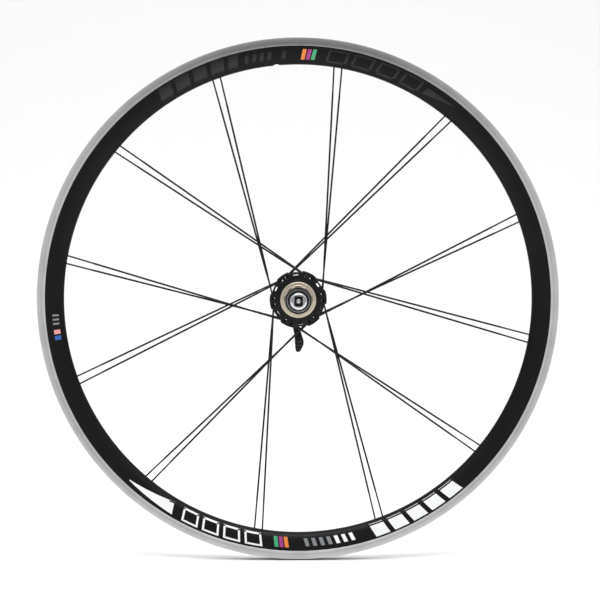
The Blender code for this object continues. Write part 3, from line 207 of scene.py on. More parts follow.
def lathe(
    name: str,
    outline: np.ndarray,
    steps: int = 96,
    hollow: np.ndarray | None = None,
) -> bpy.types.Object:
    """A closed outline turned about the axle, with an optional closed hollow inside it.

    Args:
        name: the object's name.
        outline: closed outline, an array of (radius, y).
        steps: divisions round the axle.
        hollow: outline of a hollow, also an array of (radius, y).

    Returns:
        The object. Points on the axis are merged into one.
    """
    points = ring_points(np.asarray(outline, float), steps)
    quads = grid_faces(steps, len(outline), True, True)
    if signed_volume(points, quads) < 0:
        quads = quads[:, ::-1]
    if hollow is None:
        return make_object(name, points, quads)
    inner = ring_points(np.asarray(hollow, float), steps)
    inner_quads = grid_faces(steps, len(hollow), True, True)
    if signed_volume(inner, inner_quads) > 0:
        inner_quads = inner_quads[:, ::-1]
    both = np.concatenate([points, inner])
    mesh = bpy.data.meshes.new(name)
    mesh.from_pydata(both, [], np.concatenate([quads, inner_quads + len(points)]).tolist())
    soften(mesh)
    made = bpy.data.objects.new(name, mesh)
    bpy.context.scene.collection.objects.link(made)
    return made


def prism(name: str, outline: np.ndarray, low: float, high: float) -> bpy.types.Object:
    """A closed outline in (x, z) carried along Y from low to high."""
    ends = [np.column_stack([outline[:, 0], np.full(len(outline), y), outline[:, 1]]) for y in (low, high)]
    return skin(name, np.stack(ends))


def round_axle(radius: np.ndarray, y: np.ndarray, turn: np.ndarray) -> np.ndarray:
    """Points (radius cos turn, y, radius sin turn), for arrays that broadcast together."""
    x, y, z = np.broadcast_arrays(radius * np.cos(turn), y, radius * np.sin(turn))
    return np.stack([x, y, z], axis=-1)


def signed_power(values: np.ndarray, power: float) -> np.ndarray:
    """The size of each value raised to a power, with its sign kept."""
    return np.sign(values) * np.abs(values) ** power


def unit(vectors: np.ndarray) -> np.ndarray:
    """Each vector divided by its length."""
    return vectors / np.linalg.norm(vectors, axis=-1, keepdims=True)


def sweep(
    name: str,
    path: np.ndarray,
    half_width: np.ndarray,
    half_height: np.ndarray,
    side_hint: Vector | np.ndarray,
    sides: int = 14,
    power: float = 1.0,
    closed: bool = False,
) -> bpy.types.Object:
    """A superellipse carried along a path.

    A point is path + width |cos t|^power sign(cos t) * across + height |sin t|^power sign(sin t) *
    up, where across is the hint made square to the path, and up is square to both.

    Args:
        name: the object's name.
        path: an (n, 3) array.
        half_width: half sizes along across, one for each point.
        half_height: half sizes along up.
        side_hint: the direction that across leans to, one vector or one for each point.
        sides: points round the section.
        power: 1 for an ellipse, less for a rounder rectangle.
        closed: whether the path joins up.

    Returns:
        The object, with capped ends unless closed.
    """
    ahead = np.roll(path, -1, axis=0) - np.roll(path, 1, axis=0) if closed else np.gradient(path, axis=0)
    ahead = unit(ahead)
    hint = np.broadcast_to(np.asarray(side_hint, float), path.shape)
    across = unit(hint - (hint * ahead).sum(axis=1, keepdims=True) * ahead)
    up = np.cross(ahead, across)
    turn = full_turn(sides) + np.pi / sides
    cos, sin = (signed_power(f, power) for f in (np.cos(turn), np.sin(turn)))
    wide = cos[None, :, None] * across[:, None] * np.asarray(half_width)[:, None, None]
    high = sin[None, :, None] * up[:, None] * np.asarray(half_height)[:, None, None]
    return skin(name, path[:, None] + wide + high, closed)


def rod(
    name: str,
    start: Vector | np.ndarray,
    end: Vector | np.ndarray,
    radius: float,
    sides: int = 24,
    edge: float = 0.0,
) -> bpy.types.Object:
    """A round bar between two points, with chamfered ends where edge isn't zero."""
    a, b = np.asarray(start, float), np.asarray(end, float)
    along = unit(b - a)
    length = np.linalg.norm(b - a)
    spots = [0.0, edge, length - edge, length] if edge else [0.0, length]
    radii = np.array([radius - edge, radius, radius, radius - edge] if edge else [radius, radius])
    hint = np.array([0.0, 0.0, 1.0]) if abs(along[2]) < 0.9 else np.array([1.0, 0.0, 0.0])
    path = a + np.array(spots)[:, None] * along
    return sweep(name, path, radii, radii, hint, sides)


def carve(
    base: bpy.types.Object,
    tools: list[bpy.types.Object],
    operation: str = "DIFFERENCE",
    crease: float = 32.0,
) -> bpy.types.Object:
    """Cuts the tools from a piece, or joins them to it, and removes them.

    Args:
        base: the piece.
        tools: closed objects.
        operation: the Boolean modifier's operation.
        crease: edges sharper than this many degrees stay sharp.

    Returns:
        The piece, its mesh replaced.
    """
    group = bpy.data.collections.new("cutters")
    for tool in tools:
        group.objects.link(tool)
    cut = base.modifiers.new("cut", "BOOLEAN")
    cut.operation = operation
    cut.operand_type = "COLLECTION"
    cut.collection = group
    cut.solver = "EXACT"
    settle(base, crease)
    for tool in tools:
        bpy.data.objects.remove(tool, do_unlink=True)
    bpy.data.collections.remove(group)
    return base


def settle(piece: bpy.types.Object, crease: float = 32.0) -> bpy.types.Object:
    """Applies a piece's modifiers to its mesh."""
    graph = bpy.context.evaluated_depsgraph_get()
    mesh = bpy.data.meshes.new_from_object(piece.evaluated_get(graph), depsgraph=graph)
    piece.modifiers.clear()
    old, piece.data = piece.data, mesh
    bpy.data.meshes.remove(old)
    mesh.name = piece.name
    soften(mesh, crease)
    return piece


def join(first: bpy.types.Object, second: bpy.types.Object) -> bpy.types.Object:
    """Adds the second piece's mesh to the first as a loose part, and removes the second."""
    work = bmesh.new()
    work.from_mesh(first.data)
    work.from_mesh(second.data)
    work.to_mesh(first.data)
    work.free()
    bpy.data.objects.remove(second, do_unlink=True)
    return first


def arc(radius: float, first: float, last: float, count: int) -> np.ndarray:
    """Points (x, z) on a circle from one angle to another, in degrees."""
    turn = np.radians(np.linspace(first, last, count))
    return np.stack([radius * np.cos(turn), radius * np.sin(turn)], axis=-1)


def polar(radius: float, degrees: float) -> np.ndarray:
    """One point (x, z) on a circle."""
    return arc(radius, degrees, degrees, 1)[0]


def in_plane(point: np.ndarray, y: float) -> np.ndarray:
    """A point (x, z) placed at y."""
    return np.array([point[0], y, point[1]])


# ---------------------------------------------------------------------------------------------
# Finishes
# ---------------------------------------------------------------------------------------------


class Nodes:
    """Short ways to add and link shader nodes in one tree."""

    def __init__(self, tree: bpy.types.NodeTree) -> None:
        """Keeps the tree."""
        self.tree = tree

    def add(self, kind: str, **values: object) -> bpy.types.Node:
        """Adds a node and sets its properties."""
        node = self.tree.nodes.new(kind)
        for key, value in values.items():
            setattr(node, key, value)
        return node

    def link(self, source: bpy.types.NodeSocket, target: bpy.types.NodeSocket) -> None:
        """Links two sockets."""
        self.tree.links.new(source, target)

    def math(
        self,
        operation: str,
        a: object,
        b: object = 0.0,
        c: object = 0.0,
        clamp: bool = False,
    ) -> bpy.types.NodeSocket:
        """A Math node.

        Args:
            operation: the node's operation.
            a: a socket or a number.
            b: a socket or a number.
            c: a socket or a number.
            clamp: whether the result stays within 0 and 1.

        Returns:
            The result's socket.
        """
        node = self.add("ShaderNodeMath", operation=operation, use_clamp=clamp)
        for socket, value in zip(node.inputs, (a, b, c)):
            if isinstance(value, bpy.types.NodeSocket):
                self.link(value, socket)
            else:
                socket.default_value = value
        return node.outputs[0]

    def noise(
        self,
        vector: bpy.types.NodeSocket,
        scale: object,
        detail: float = 3.0,
        dimensions: str = "3D",
    ) -> bpy.types.NodeSocket:
        """A Noise texture's value, from 0 to 1."""
        node = self.add("ShaderNodeTexNoise", noise_dimensions=dimensions)
        node.inputs["Detail"].default_value = detail
        self.link(vector, node.inputs["W" if dimensions == "1D" else "Vector"])
        if isinstance(scale, bpy.types.NodeSocket):
            self.link(scale, node.inputs["Scale"])
        else:
            node.inputs["Scale"].default_value = scale
        return node.outputs[0]

    def mix(self, share: bpy.types.NodeSocket, a: object, b: object) -> bpy.types.NodeSocket:
        """A colour between a and b, where each is a colour or a socket."""
        node = self.add("ShaderNodeMix", data_type="RGBA")
        self.link(share, node.inputs[0])
        for socket, value in ((node.inputs[6], a), (node.inputs[7], b)):
            if isinstance(value, bpy.types.NodeSocket):
                self.link(value, socket)
            else:
                socket.default_value = (*value, 1.0)
        return node.outputs[2]

    def axle_radius(self, split: bpy.types.Node) -> bpy.types.NodeSocket:
        """Distance from the axle: the root of z^2 + x^2 of a Separate XYZ node."""
        x2 = self.math("MULTIPLY", split.outputs["X"], split.outputs["X"])
        return self.math("SQRT", self.math("MULTIPLY_ADD", split.outputs["Z"], split.outputs["Z"], x2))

    def span(
        self,
        value: bpy.types.NodeSocket,
        low: float,
        high: float,
        to_low: float,
        to_high: float,
    ) -> bpy.types.NodeSocket:
        """A value carried from one range to another, kept inside it."""
        node = self.add("ShaderNodeMapRange", clamp=True)
        self.link(value, node.inputs[0])
        for socket, number in zip(node.inputs[1:5], (low, high, to_low, to_high)):
            socket.default_value = number
        return node.outputs[0]


def new_group(
    name: str,
    inputs: dict[str, float],
    outputs: list[str],
) -> tuple[bpy.types.NodeTree, Nodes, bpy.types.Node, bpy.types.Node]:
    """An empty shader node group.

    Args:
        name: the group's name.
        inputs: numbers with their default values. A vector input named Place comes first.
        outputs: names of its number outputs.

    Returns:
        The tree, its helper, and its input and output nodes.
    """
    tree = bpy.data.node_groups.new(name, "ShaderNodeTree")
    tree.interface.new_socket("Place", in_out="INPUT", socket_type="NodeSocketVector")
    for key, value in inputs.items():
        socket = tree.interface.new_socket(key, in_out="INPUT", socket_type="NodeSocketFloat")
        socket.default_value = value
    for key in outputs:
        tree.interface.new_socket(key, in_out="OUTPUT", socket_type="NodeSocketFloat")
    nodes = Nodes(tree)
    return tree, nodes, nodes.add("NodeGroupInput"), nodes.add("NodeGroupOutput")


class Effects:
    """The effects that several finishes share, each a node group built once."""

    def __init__(self) -> None:
        """Builds the groups."""
        self.grain = self._grain()
        self.turned = self._turned()
        self.wear = self._wear()

    @staticmethod
    def _grain() -> bpy.types.NodeTree:
        """Fine cast or blasted grain over a slow change of tone."""
        tree, n, source, out = new_group("surface_grain", {"Scale": 2500.0}, ["Height", "Tone"])
        fine = n.noise(source.outputs["Place"], source.outputs["Scale"], 2.0)
        slow = n.noise(source.outputs["Place"], 45.0, 3.0)
        n.link(fine, out.inputs["Height"])
        n.link(slow, out.inputs["Tone"])
        return tree

    @staticmethod
    def _turned() -> bpy.types.NodeTree:
        """Lathe lines: noise in one dimension along radius + 0.8 y, so they ring both faces and sides."""
        tree, n, source, out = new_group("turned_lines", {"Pitch": 0.0003}, ["Height", "Fine"])
        split = n.add("ShaderNodeSeparateXYZ")
        n.link(source.outputs["Place"], split.inputs[0])
        along = n.math("MULTIPLY_ADD", split.outputs["Y"], 0.8, n.axle_radius(split))
        lines = n.math("DIVIDE", along, source.outputs["Pitch"])
        n.link(n.noise(lines, 1.0, 1.5, "1D"), out.inputs["Height"])
        n.link(n.noise(lines, 0.23, 2.0, "1D"), out.inputs["Fine"])
        return tree

    @staticmethod
    def _wear() -> bpy.types.NodeTree:
        """Handling marks: sparse short scuffs, as a mask."""
        tree, n, source, out = new_group("handling_wear", {"Scale": 160.0, "Amount": 0.35}, ["Mask"])
        patches = n.noise(source.outputs["Place"], source.outputs["Scale"], 6.0)
        fine = n.noise(source.outputs["Place"], 1400.0, 2.0)
        edge = n.math("SUBTRACT", 0.86, n.math("MULTIPLY", source.outputs["Amount"], 0.4))
        both = n.math("MULTIPLY_ADD", fine, 0.25, n.math("MULTIPLY", patches, 0.85))
        mask = n.math("MULTIPLY", n.math("SUBTRACT", both, edge), 9.0, clamp=True)
        n.link(mask, out.inputs["Mask"])
        return tree


@dataclass(frozen=True)
class Finish:
    """A surface finish, made into one material.

    Attributes:
        name: the material's name.
        base: main colour.
        tint: colour of the slow tone change.
        roughness: middle roughness.
        spread: how far grain and lines move the roughness.
        metallic: 0 or 1.
        grain: spacing of the grain per metre.
        grain_depth: height of the grain.
        lines: kind of machining lines.
        pitch: spacing of the lines.
        line_depth: height of the lines.
        line_tone: how much lines darken the colour.
        anisotropy: stretch of the gloss across the lines.
        specular: dielectric specular level.
        wear: amount of handling marks.
        wear_colour: colour of the marks.
        sheen: fabric sheen.
    """

    name: str
    base: Colour
    tint: Colour
    roughness: float = 0.4
    spread: float = 0.08
    metallic: float = 0.0
    grain: float = 2500.0
    grain_depth: float = 0.00001
    lines: Lines = Lines.NONE
    pitch: float = 0.0003
    line_depth: float = 0.00001
    line_tone: float = 0.1
    anisotropy: float = 0.0
    specular: float = 0.5
    wear: float = 0.2
    wear_colour: Colour = (0.3, 0.3, 0.3)
    sheen: float = 0.0

    def colour_and_relief(self, n: Nodes, effects: Effects, place: bpy.types.NodeSocket) -> tuple:
        """Colour, roughness and height from the shared effects.

        Args:
            n: the material's node helper.
            effects: the shared groups.
            place: object coordinates.

        Returns:
            Sockets for colour, roughness and height in metres.
        """
        grain = n.add("ShaderNodeGroup", node_tree=effects.grain)
        n.link(place, grain.inputs["Place"])
        grain.inputs["Scale"].default_value = self.grain
        tone = n.span(grain.outputs["Tone"], 0.3, 0.7, 0.0, 1.0)
        colour = n.mix(tone, self.base, self.tint)
        height = n.math("MULTIPLY", grain.outputs["Height"], self.grain_depth)
        smoothest = self.roughness - self.spread / 2.0
        rough = n.math("MULTIPLY_ADD", grain.outputs["Height"], self.spread, smoothest)
        if self.lines is Lines.TURNED:
            lines = n.add("ShaderNodeGroup", node_tree=effects.turned)
            n.link(place, lines.inputs["Place"])
            lines.inputs["Pitch"].default_value = self.pitch
            height = n.math("MULTIPLY_ADD", lines.outputs["Height"], self.line_depth, height)
            rough = n.math("MULTIPLY_ADD", lines.outputs["Fine"], self.spread, rough)
            dark = n.span(lines.outputs["Fine"], 0.3, 0.7, 0.0, self.line_tone)
            colour = n.mix(dark, colour, NO_LIGHT)
        wear = n.add("ShaderNodeGroup", node_tree=effects.wear)
        n.link(place, wear.inputs["Place"])
        wear.inputs["Amount"].default_value = self.wear
        colour = n.mix(n.math("MULTIPLY", wear.outputs["Mask"], 0.5), colour, self.wear_colour)
        rough = n.math("MULTIPLY_ADD", wear.outputs["Mask"], 0.12, rough)
        return colour, rough, height

    def material(self, effects: Effects) -> bpy.types.Material:
        """Builds the material.

        Args:
            effects: the shared groups.

        Returns:
            The material, with a Principled shader.
        """
        made = bpy.data.materials.new(self.name)
        made.use_nodes = True
        made.node_tree.nodes.clear()
        n = Nodes(made.node_tree)
        shader = n.add("ShaderNodeBsdfPrincipled")
        out = n.add("ShaderNodeOutputMaterial")
        n.link(shader.outputs[0], out.inputs["Surface"])
        place = n.add("ShaderNodeTexCoord").outputs["Object"]
        colour, rough, height = self.colour_and_relief(n, effects, place)
        n.link(colour, shader.inputs["Base Color"])
        n.link(rough, shader.inputs["Roughness"])
        bump = n.add("ShaderNodeBump")
        bump.inputs["Strength"].default_value = 1.0
        bump.inputs["Distance"].default_value = 1.0
        n.link(height, bump.inputs["Height"])
        n.link(bump.outputs[0], shader.inputs["Normal"])
        shader.inputs["Metallic"].default_value = self.metallic
        shader.inputs["Specular IOR Level"].default_value = self.specular
        shader.inputs["Sheen Weight"].default_value = self.sheen
        if self.anisotropy:
            shader.inputs["Anisotropic"].default_value = self.anisotropy
            tangent = n.add("ShaderNodeTangent", direction_type="RADIAL", axis="Y")
            n.link(tangent.outputs[0], shader.inputs["Tangent"])
        return made


@dataclass(frozen=True)
class Woven(Finish):
    """A plain-woven tape whose threads follow the rim: one set round it, one across it.

    Attributes:
        thread: spacing of the threads.
        radius: radius that the tape lies at.
    """

    thread: float = 0.0006
    radius: float = 0.3117

    def colour_and_relief(self, n: Nodes, effects: Effects, place: bpy.types.NodeSocket) -> tuple:
        """Height |sin(angle radius / thread)| and |sin(y / thread)|, the higher one on top, with painted
        shade where the weave is low.
        """
        colour, rough, _ = super().colour_and_relief(n, effects, place)
        split = n.add("ShaderNodeSeparateXYZ")
        n.link(place, split.inputs[0])
        angle = n.math("ARCTAN2", split.outputs["Z"], split.outputs["X"])
        turns = n.math("MULTIPLY", angle, self.radius * math.pi / self.thread)
        rows = n.math("MULTIPLY", split.outputs["Y"], math.pi / self.thread)
        round_it, across = (n.math("ABSOLUTE", n.math("SINE", way)) for way in (turns, rows))
        weave = n.math("MAXIMUM", round_it, across)
        # painted shade: up to 35% darker where the weave is low, between the threads
        dark = n.span(weave, 0.5, 1.0, 0.35, 0.0)
        return n.mix(dark, colour, NO_LIGHT), rough, n.math("MULTIPLY", weave, self.thread * 0.25)


@dataclass(frozen=True)
class SplinedShaded(Finish):
    """A finish for the sprocket carrier: painted shade darkens its grooves and the mouth of its bore.

    Attributes:
        ridge: radius above which the ridges get no painted shade.
        low: y of the shoulder's outer face, which gets no painted shade.
    """

    ridge: float = 0.01715
    low: float = -0.0341

    def colour_and_relief(self, n: Nodes, effects: Effects, place: bpy.types.NodeSocket) -> tuple:
        """Painted shade: darkens the base where the radius is under the ridge radius and y is outside the
        shoulder.
        """
        colour, rough, height = super().colour_and_relief(n, effects, place)
        split = n.add("ShaderNodeSeparateXYZ")
        n.link(place, split.inputs[0])
        # painted shade mask over the grooves, the bore and the end lip; the end face gets a quarter of it
        inside = n.span(n.axle_radius(split), self.ridge - 0.0003, self.ridge + 0.0001, 1.0, 0.0)
        outside = n.span(split.outputs["Y"], self.low - 0.0004, self.low, 1.0, 0.0)
        below_face = n.span(split.outputs["Y"], -0.06825, -0.06800, 0.25, 1.0)
        share = n.math("MULTIPLY", n.math("MULTIPLY", inside, outside), below_face)
        return n.mix(n.math("MULTIPLY", share, 0.93), colour, NO_LIGHT), rough, height


def ink(
    name: str,
    base: Colour,
    tint: Colour,
    wear_colour: Colour,
    roughness: float = 0.3,
    specular: float = 0.5,
    wear: float = 0.1,
) -> Finish:
    """A smooth printed ink."""
    return Finish(name, base, tint, roughness, 0.05, grain=3000.0, grain_depth=1e-6, specular=specular,
                  wear=wear, wear_colour=wear_colour)


BLACK = (0.0022, 0.0022, 0.0024)

FINISHES: dict[str, Finish] = {
    f.name: f
    for f in (
        Finish("rim_satin_black", BLACK, (0.0034, 0.0034, 0.0038), 0.40, 0.06, grain=1800.0,
               grain_depth=3e-6, specular=0.16, wear=0.1, wear_colour=(0.03, 0.03, 0.03)),
        Finish("brake_track", (0.60, 0.60, 0.61), (0.52, 0.52, 0.53), 0.30, 0.14, 1.0, grain=4000.0,
               grain_depth=2e-6, lines=Lines.TURNED, pitch=0.0005, line_depth=1.2e-5, line_tone=0.35,
               anisotropy=0.75, wear=0.25, wear_colour=(0.35, 0.35, 0.35)),
        Woven("tape_cotton", (0.72, 0.70, 0.62), (0.62, 0.60, 0.52), 0.85, 0.1, grain=5000.0,
              specular=0.2, sheen=0.3, wear=0.3, wear_colour=(0.45, 0.42, 0.36)),
        Finish("spoke_black", (0.0035, 0.0032, 0.003), (0.006, 0.005, 0.0045), 0.34, 0.08, 0.0,
               grain=3000.0, grain_depth=2e-6, specular=0.25, wear=0.2, wear_colour=(0.12, 0.11, 0.1)),
        Finish("hub_anodised", (0.0028, 0.0028, 0.0031), (0.0045, 0.0045, 0.005), 0.33, 0.08, 0.0,
               grain=2600.0, grain_depth=4e-6, lines=Lines.TURNED, pitch=0.0004, line_depth=4e-6,
               line_tone=0.1, specular=0.22, wear=0.2, wear_colour=(0.03, 0.03, 0.03)),
        # the carrier's finish, with painted shade in its grooves and bore
        SplinedShaded("freehub_champagne", (0.62, 0.55, 0.45), (0.54, 0.47, 0.37), 0.33, 0.1, 1.0,
                grain=3000.0, grain_depth=3e-6, lines=Lines.TURNED, pitch=0.0003, line_depth=6e-6,
                line_tone=0.12, anisotropy=0.3, wear=0.3, wear_colour=(0.40, 0.36, 0.31)),
        Finish("ground_steel", (0.56, 0.56, 0.57), (0.50, 0.50, 0.50), 0.24, 0.1, 1.0, grain=3000.0,
               grain_depth=2e-6, lines=Lines.TURNED, pitch=0.0003, line_depth=4e-6, line_tone=0.1,
               wear=0.2, wear_colour=(0.35, 0.33, 0.3)),
        Finish("tool_steel", (0.30, 0.30, 0.31), (0.24, 0.24, 0.25), 0.36, 0.1, 1.0, grain=2500.0,
               grain_depth=4e-6, lines=Lines.TURNED, pitch=0.0004, line_depth=5e-6, line_tone=0.15,
               wear=0.25, wear_colour=(0.18, 0.16, 0.14)),
        Finish("axle_turned", (0.44, 0.44, 0.46), (0.38, 0.38, 0.40), 0.32, 0.1, 1.0, grain=2500.0,
               grain_depth=2e-6, lines=Lines.TURNED, pitch=0.00035, line_depth=6e-6, line_tone=0.12,
               wear=0.2, wear_colour=(0.3, 0.3, 0.3)),
        Finish("cap_blue_black", (0.003, 0.006, 0.011), (0.004, 0.008, 0.014), 0.28, 0.08, 0.0,
               grain=2600.0, grain_depth=3e-6, lines=Lines.TURNED, pitch=0.0004, line_depth=5e-6,
               line_tone=0.1, specular=0.3, wear=0.2, wear_colour=(0.10, 0.11, 0.12)),
        Finish("seal_rubber", (0.004, 0.004, 0.004), (0.006, 0.006, 0.006), 0.75, 0.1, grain=1600.0,
               grain_depth=1.2e-5, specular=0.15, wear=0.3, wear_colour=(0.05, 0.05, 0.05)),
        Finish("lever_anodised", (0.0028, 0.0028, 0.003), (0.0045, 0.0045, 0.005), 0.33, 0.08,
               grain=2400.0, grain_depth=5e-6, specular=0.25, wear=0.35, wear_colour=(0.09, 0.09, 0.09)),
        # painted highlight: a lighter copy of the lever's black for the raised ribs, standing in for their
        # lit bands
        Finish("lever_ridge_painted_highlight", (0.035, 0.035, 0.037), (0.05, 0.05, 0.052), 0.35, 0.08, grain=2400.0,
               grain_depth=5e-6, specular=0.5, wear=0.4, wear_colour=(0.12, 0.12, 0.12)),
        Finish("nut_polished", (0.70, 0.70, 0.72), (0.62, 0.62, 0.64), 0.16, 0.05, 1.0, grain=3000.0,
               grain_depth=1e-6, lines=Lines.TURNED, pitch=0.0003, line_depth=1.5e-6, line_tone=0.04,
               wear=0.15, wear_colour=(0.55, 0.55, 0.55)),
        Finish("nut_recess", (0.012, 0.012, 0.014), (0.02, 0.02, 0.022), 0.42, 0.1, grain=2600.0,
               grain_depth=6e-6, specular=0.4, wear=0.2, wear_colour=(0.06, 0.06, 0.06)),
        Finish("insert_nylon", (0.006, 0.006, 0.008), (0.009, 0.009, 0.011), 0.5, 0.1, grain=1800.0,
               grain_depth=8e-6, specular=0.4, wear=0.2, wear_colour=(0.05, 0.05, 0.05)),
        ink("mark_dark", (0.010, 0.010, 0.011), (0.013, 0.013, 0.014), (0.05, 0.05, 0.05), 0.26, 0.3),
        ink("mark_white", (0.78, 0.79, 0.80), (0.72, 0.73, 0.74), (0.5, 0.5, 0.5), wear=0.15),
        ink("mark_grey", (0.20, 0.21, 0.22), (0.17, 0.18, 0.19), (0.15, 0.15, 0.15), wear=0.15),
        ink("mark_orange", (0.70, 0.20, 0.03), (0.62, 0.17, 0.025), (0.5, 0.1, 0.05)),
        ink("mark_plum", (0.32, 0.03, 0.20), (0.27, 0.025, 0.17), (0.2, 0.05, 0.12)),
        ink("mark_green", (0.05, 0.34, 0.16), (0.04, 0.28, 0.13), (0.05, 0.2, 0.1)),
        ink("mark_blue", (0.02, 0.10, 0.38), (0.02, 0.09, 0.33), (0.05, 0.1, 0.25)),
        ink("mark_pink", (0.70, 0.30, 0.28), (0.64, 0.26, 0.25), (0.4, 0.2, 0.2)),
    )
}


class Workshop:
    """Holds the materials, and puts pieces on bodies with their finish."""

    def __init__(self) -> None:
        """Builds every finish's material."""
        self.effects = Effects()
        self.materials = {name: finish.material(self.effects) for name, finish in FINISHES.items()}

    def dress(self, piece: bpy.types.Object, *finishes: str) -> bpy.types.Object:
        """Gives a piece its finishes, the first for every face that has no other."""
        piece.data.materials.clear()
        for finish in finishes:
            piece.data.materials.append(self.materials[finish])
        return piece

    def fit(self, piece: bpy.types.Object, body: str, slot: str, *nodes: str) -> bpy.types.Object:
        """Puts a piece on its body and hides the plain nodes it stands for.

        Args:
            piece: the finished piece.
            body: the body it rides on.
            slot: the record's material slot; not used.
            nodes: frame nodes that the piece stands for.

        Returns:
            The piece.
        """
        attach(piece, body)
        if nodes:
            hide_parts(*nodes)
        LOG.info("%s: %d faces on %s", piece.name, len(piece.data.polygons), body)
        return piece

    def paint_node(self, node: str, finish: str) -> None:
        """Gives a plain node that stays visible its finish."""
        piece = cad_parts[node]
        piece.data.materials.clear()
        piece.data.materials.append(self.materials[finish])
        LOG.info("%s: plain node in %s", node, finish)


# ---------------------------------------------------------------------------------------------
# Lacing
# ---------------------------------------------------------------------------------------------


@dataclass(frozen=True)
class Spoke:
    """One spoke's line: from the middle of its head to its seat in the rim."""

    side: Side
    number: int
    angle: float
    head: np.ndarray
    seat: np.ndarray

    @property
    def along(self) -> np.ndarray:
        """Direction from the hub to the rim."""
        return unit(self.seat - self.head)

    @property
    def node(self) -> str:
        """Name of the frame's node."""
        return f"spoke_{self.side.name.lower()}_{self.number + 1:02d}"


@dataclass
class Lacing:
    """Where the 24 spokes lie: 12 pairs, each with one spoke to either flange.

    Attributes:
        pairs: number of pairs round the rim.
        first_pair: angle of the first pair's middle.
        half_gap: half the angle between a pair's spokes at the rim.
        offset: distance of a spoke's line from the axle, seen along it.
        seat_radius: where the nipples seat.
        cross_offset: how far a head is from its flange's middle plane.
        lobe_lag: angle from a pair's middle to the lobe that its spokes come from.
        head_angle: angle of a head from its lobe's middle.
        flange_y: middle planes of the two flanges.
    """

    pairs: int = 12
    first_pair: float = 20.25
    half_gap: float = 0.97
    offset: float = 29.1 * MM
    seat_radius: float = 287.0 * MM
    cross_offset: float = 1.35 * MM
    lobe_lag: float = 75.0
    head_angle: float = 6.9
    flange_y: tuple[float, float] = (-21.0 * MM, 37.0 * MM)

    def plane(self, side: Side) -> float:
        """Middle plane of a flange."""
        return self.flange_y[0] if side is Side.DRIVE else self.flange_y[1]

    def spoke(self, side: Side, number: int) -> Spoke:
        """Works out one spoke.

        Seen along the axle its line touches the circle of the offset at the foot. The head lies
        offset * tan(head angle - foot angle) past the foot.

        Args:
            side: which flange it leaves.
            number: its pair, from 0.

        Returns:
            The spoke.
        """
        sign = 1.0 if number % 2 == 0 else -1.0
        middle = self.first_pair + 360.0 / self.pairs * number
        angle = middle - side.value * sign * self.half_gap
        lean = math.degrees(math.asin(self.offset / self.seat_radius))
        foot_angle = angle + sign * (lean - 90.0)
        head_angle = middle - sign * (self.lobe_lag - self.head_angle)
        past = self.offset * math.tan(math.radians(abs(head_angle - foot_angle)))
        head = polar(self.offset, foot_angle) + polar(1.0, angle + sign * lean) * past
        head_y = self.plane(side) + side.value * sign * self.cross_offset
        seat = in_plane(polar(self.seat_radius, angle), 0.0)
        return Spoke(side, number, angle, in_plane(head, head_y), seat)

    def spokes(self) -> list[Spoke]:
        """All 24 spokes."""
        return [self.spoke(side, number) for side in Side for number in range(self.pairs)]

    def lobes(self) -> np.ndarray:
        """Angles of the lobes' middles."""
        return self.first_pair - self.lobe_lag + 720.0 / self.pairs * np.arange(self.pairs // 2)


# ---------------------------------------------------------------------------------------------
# Sub-assemblies
# ---------------------------------------------------------------------------------------------


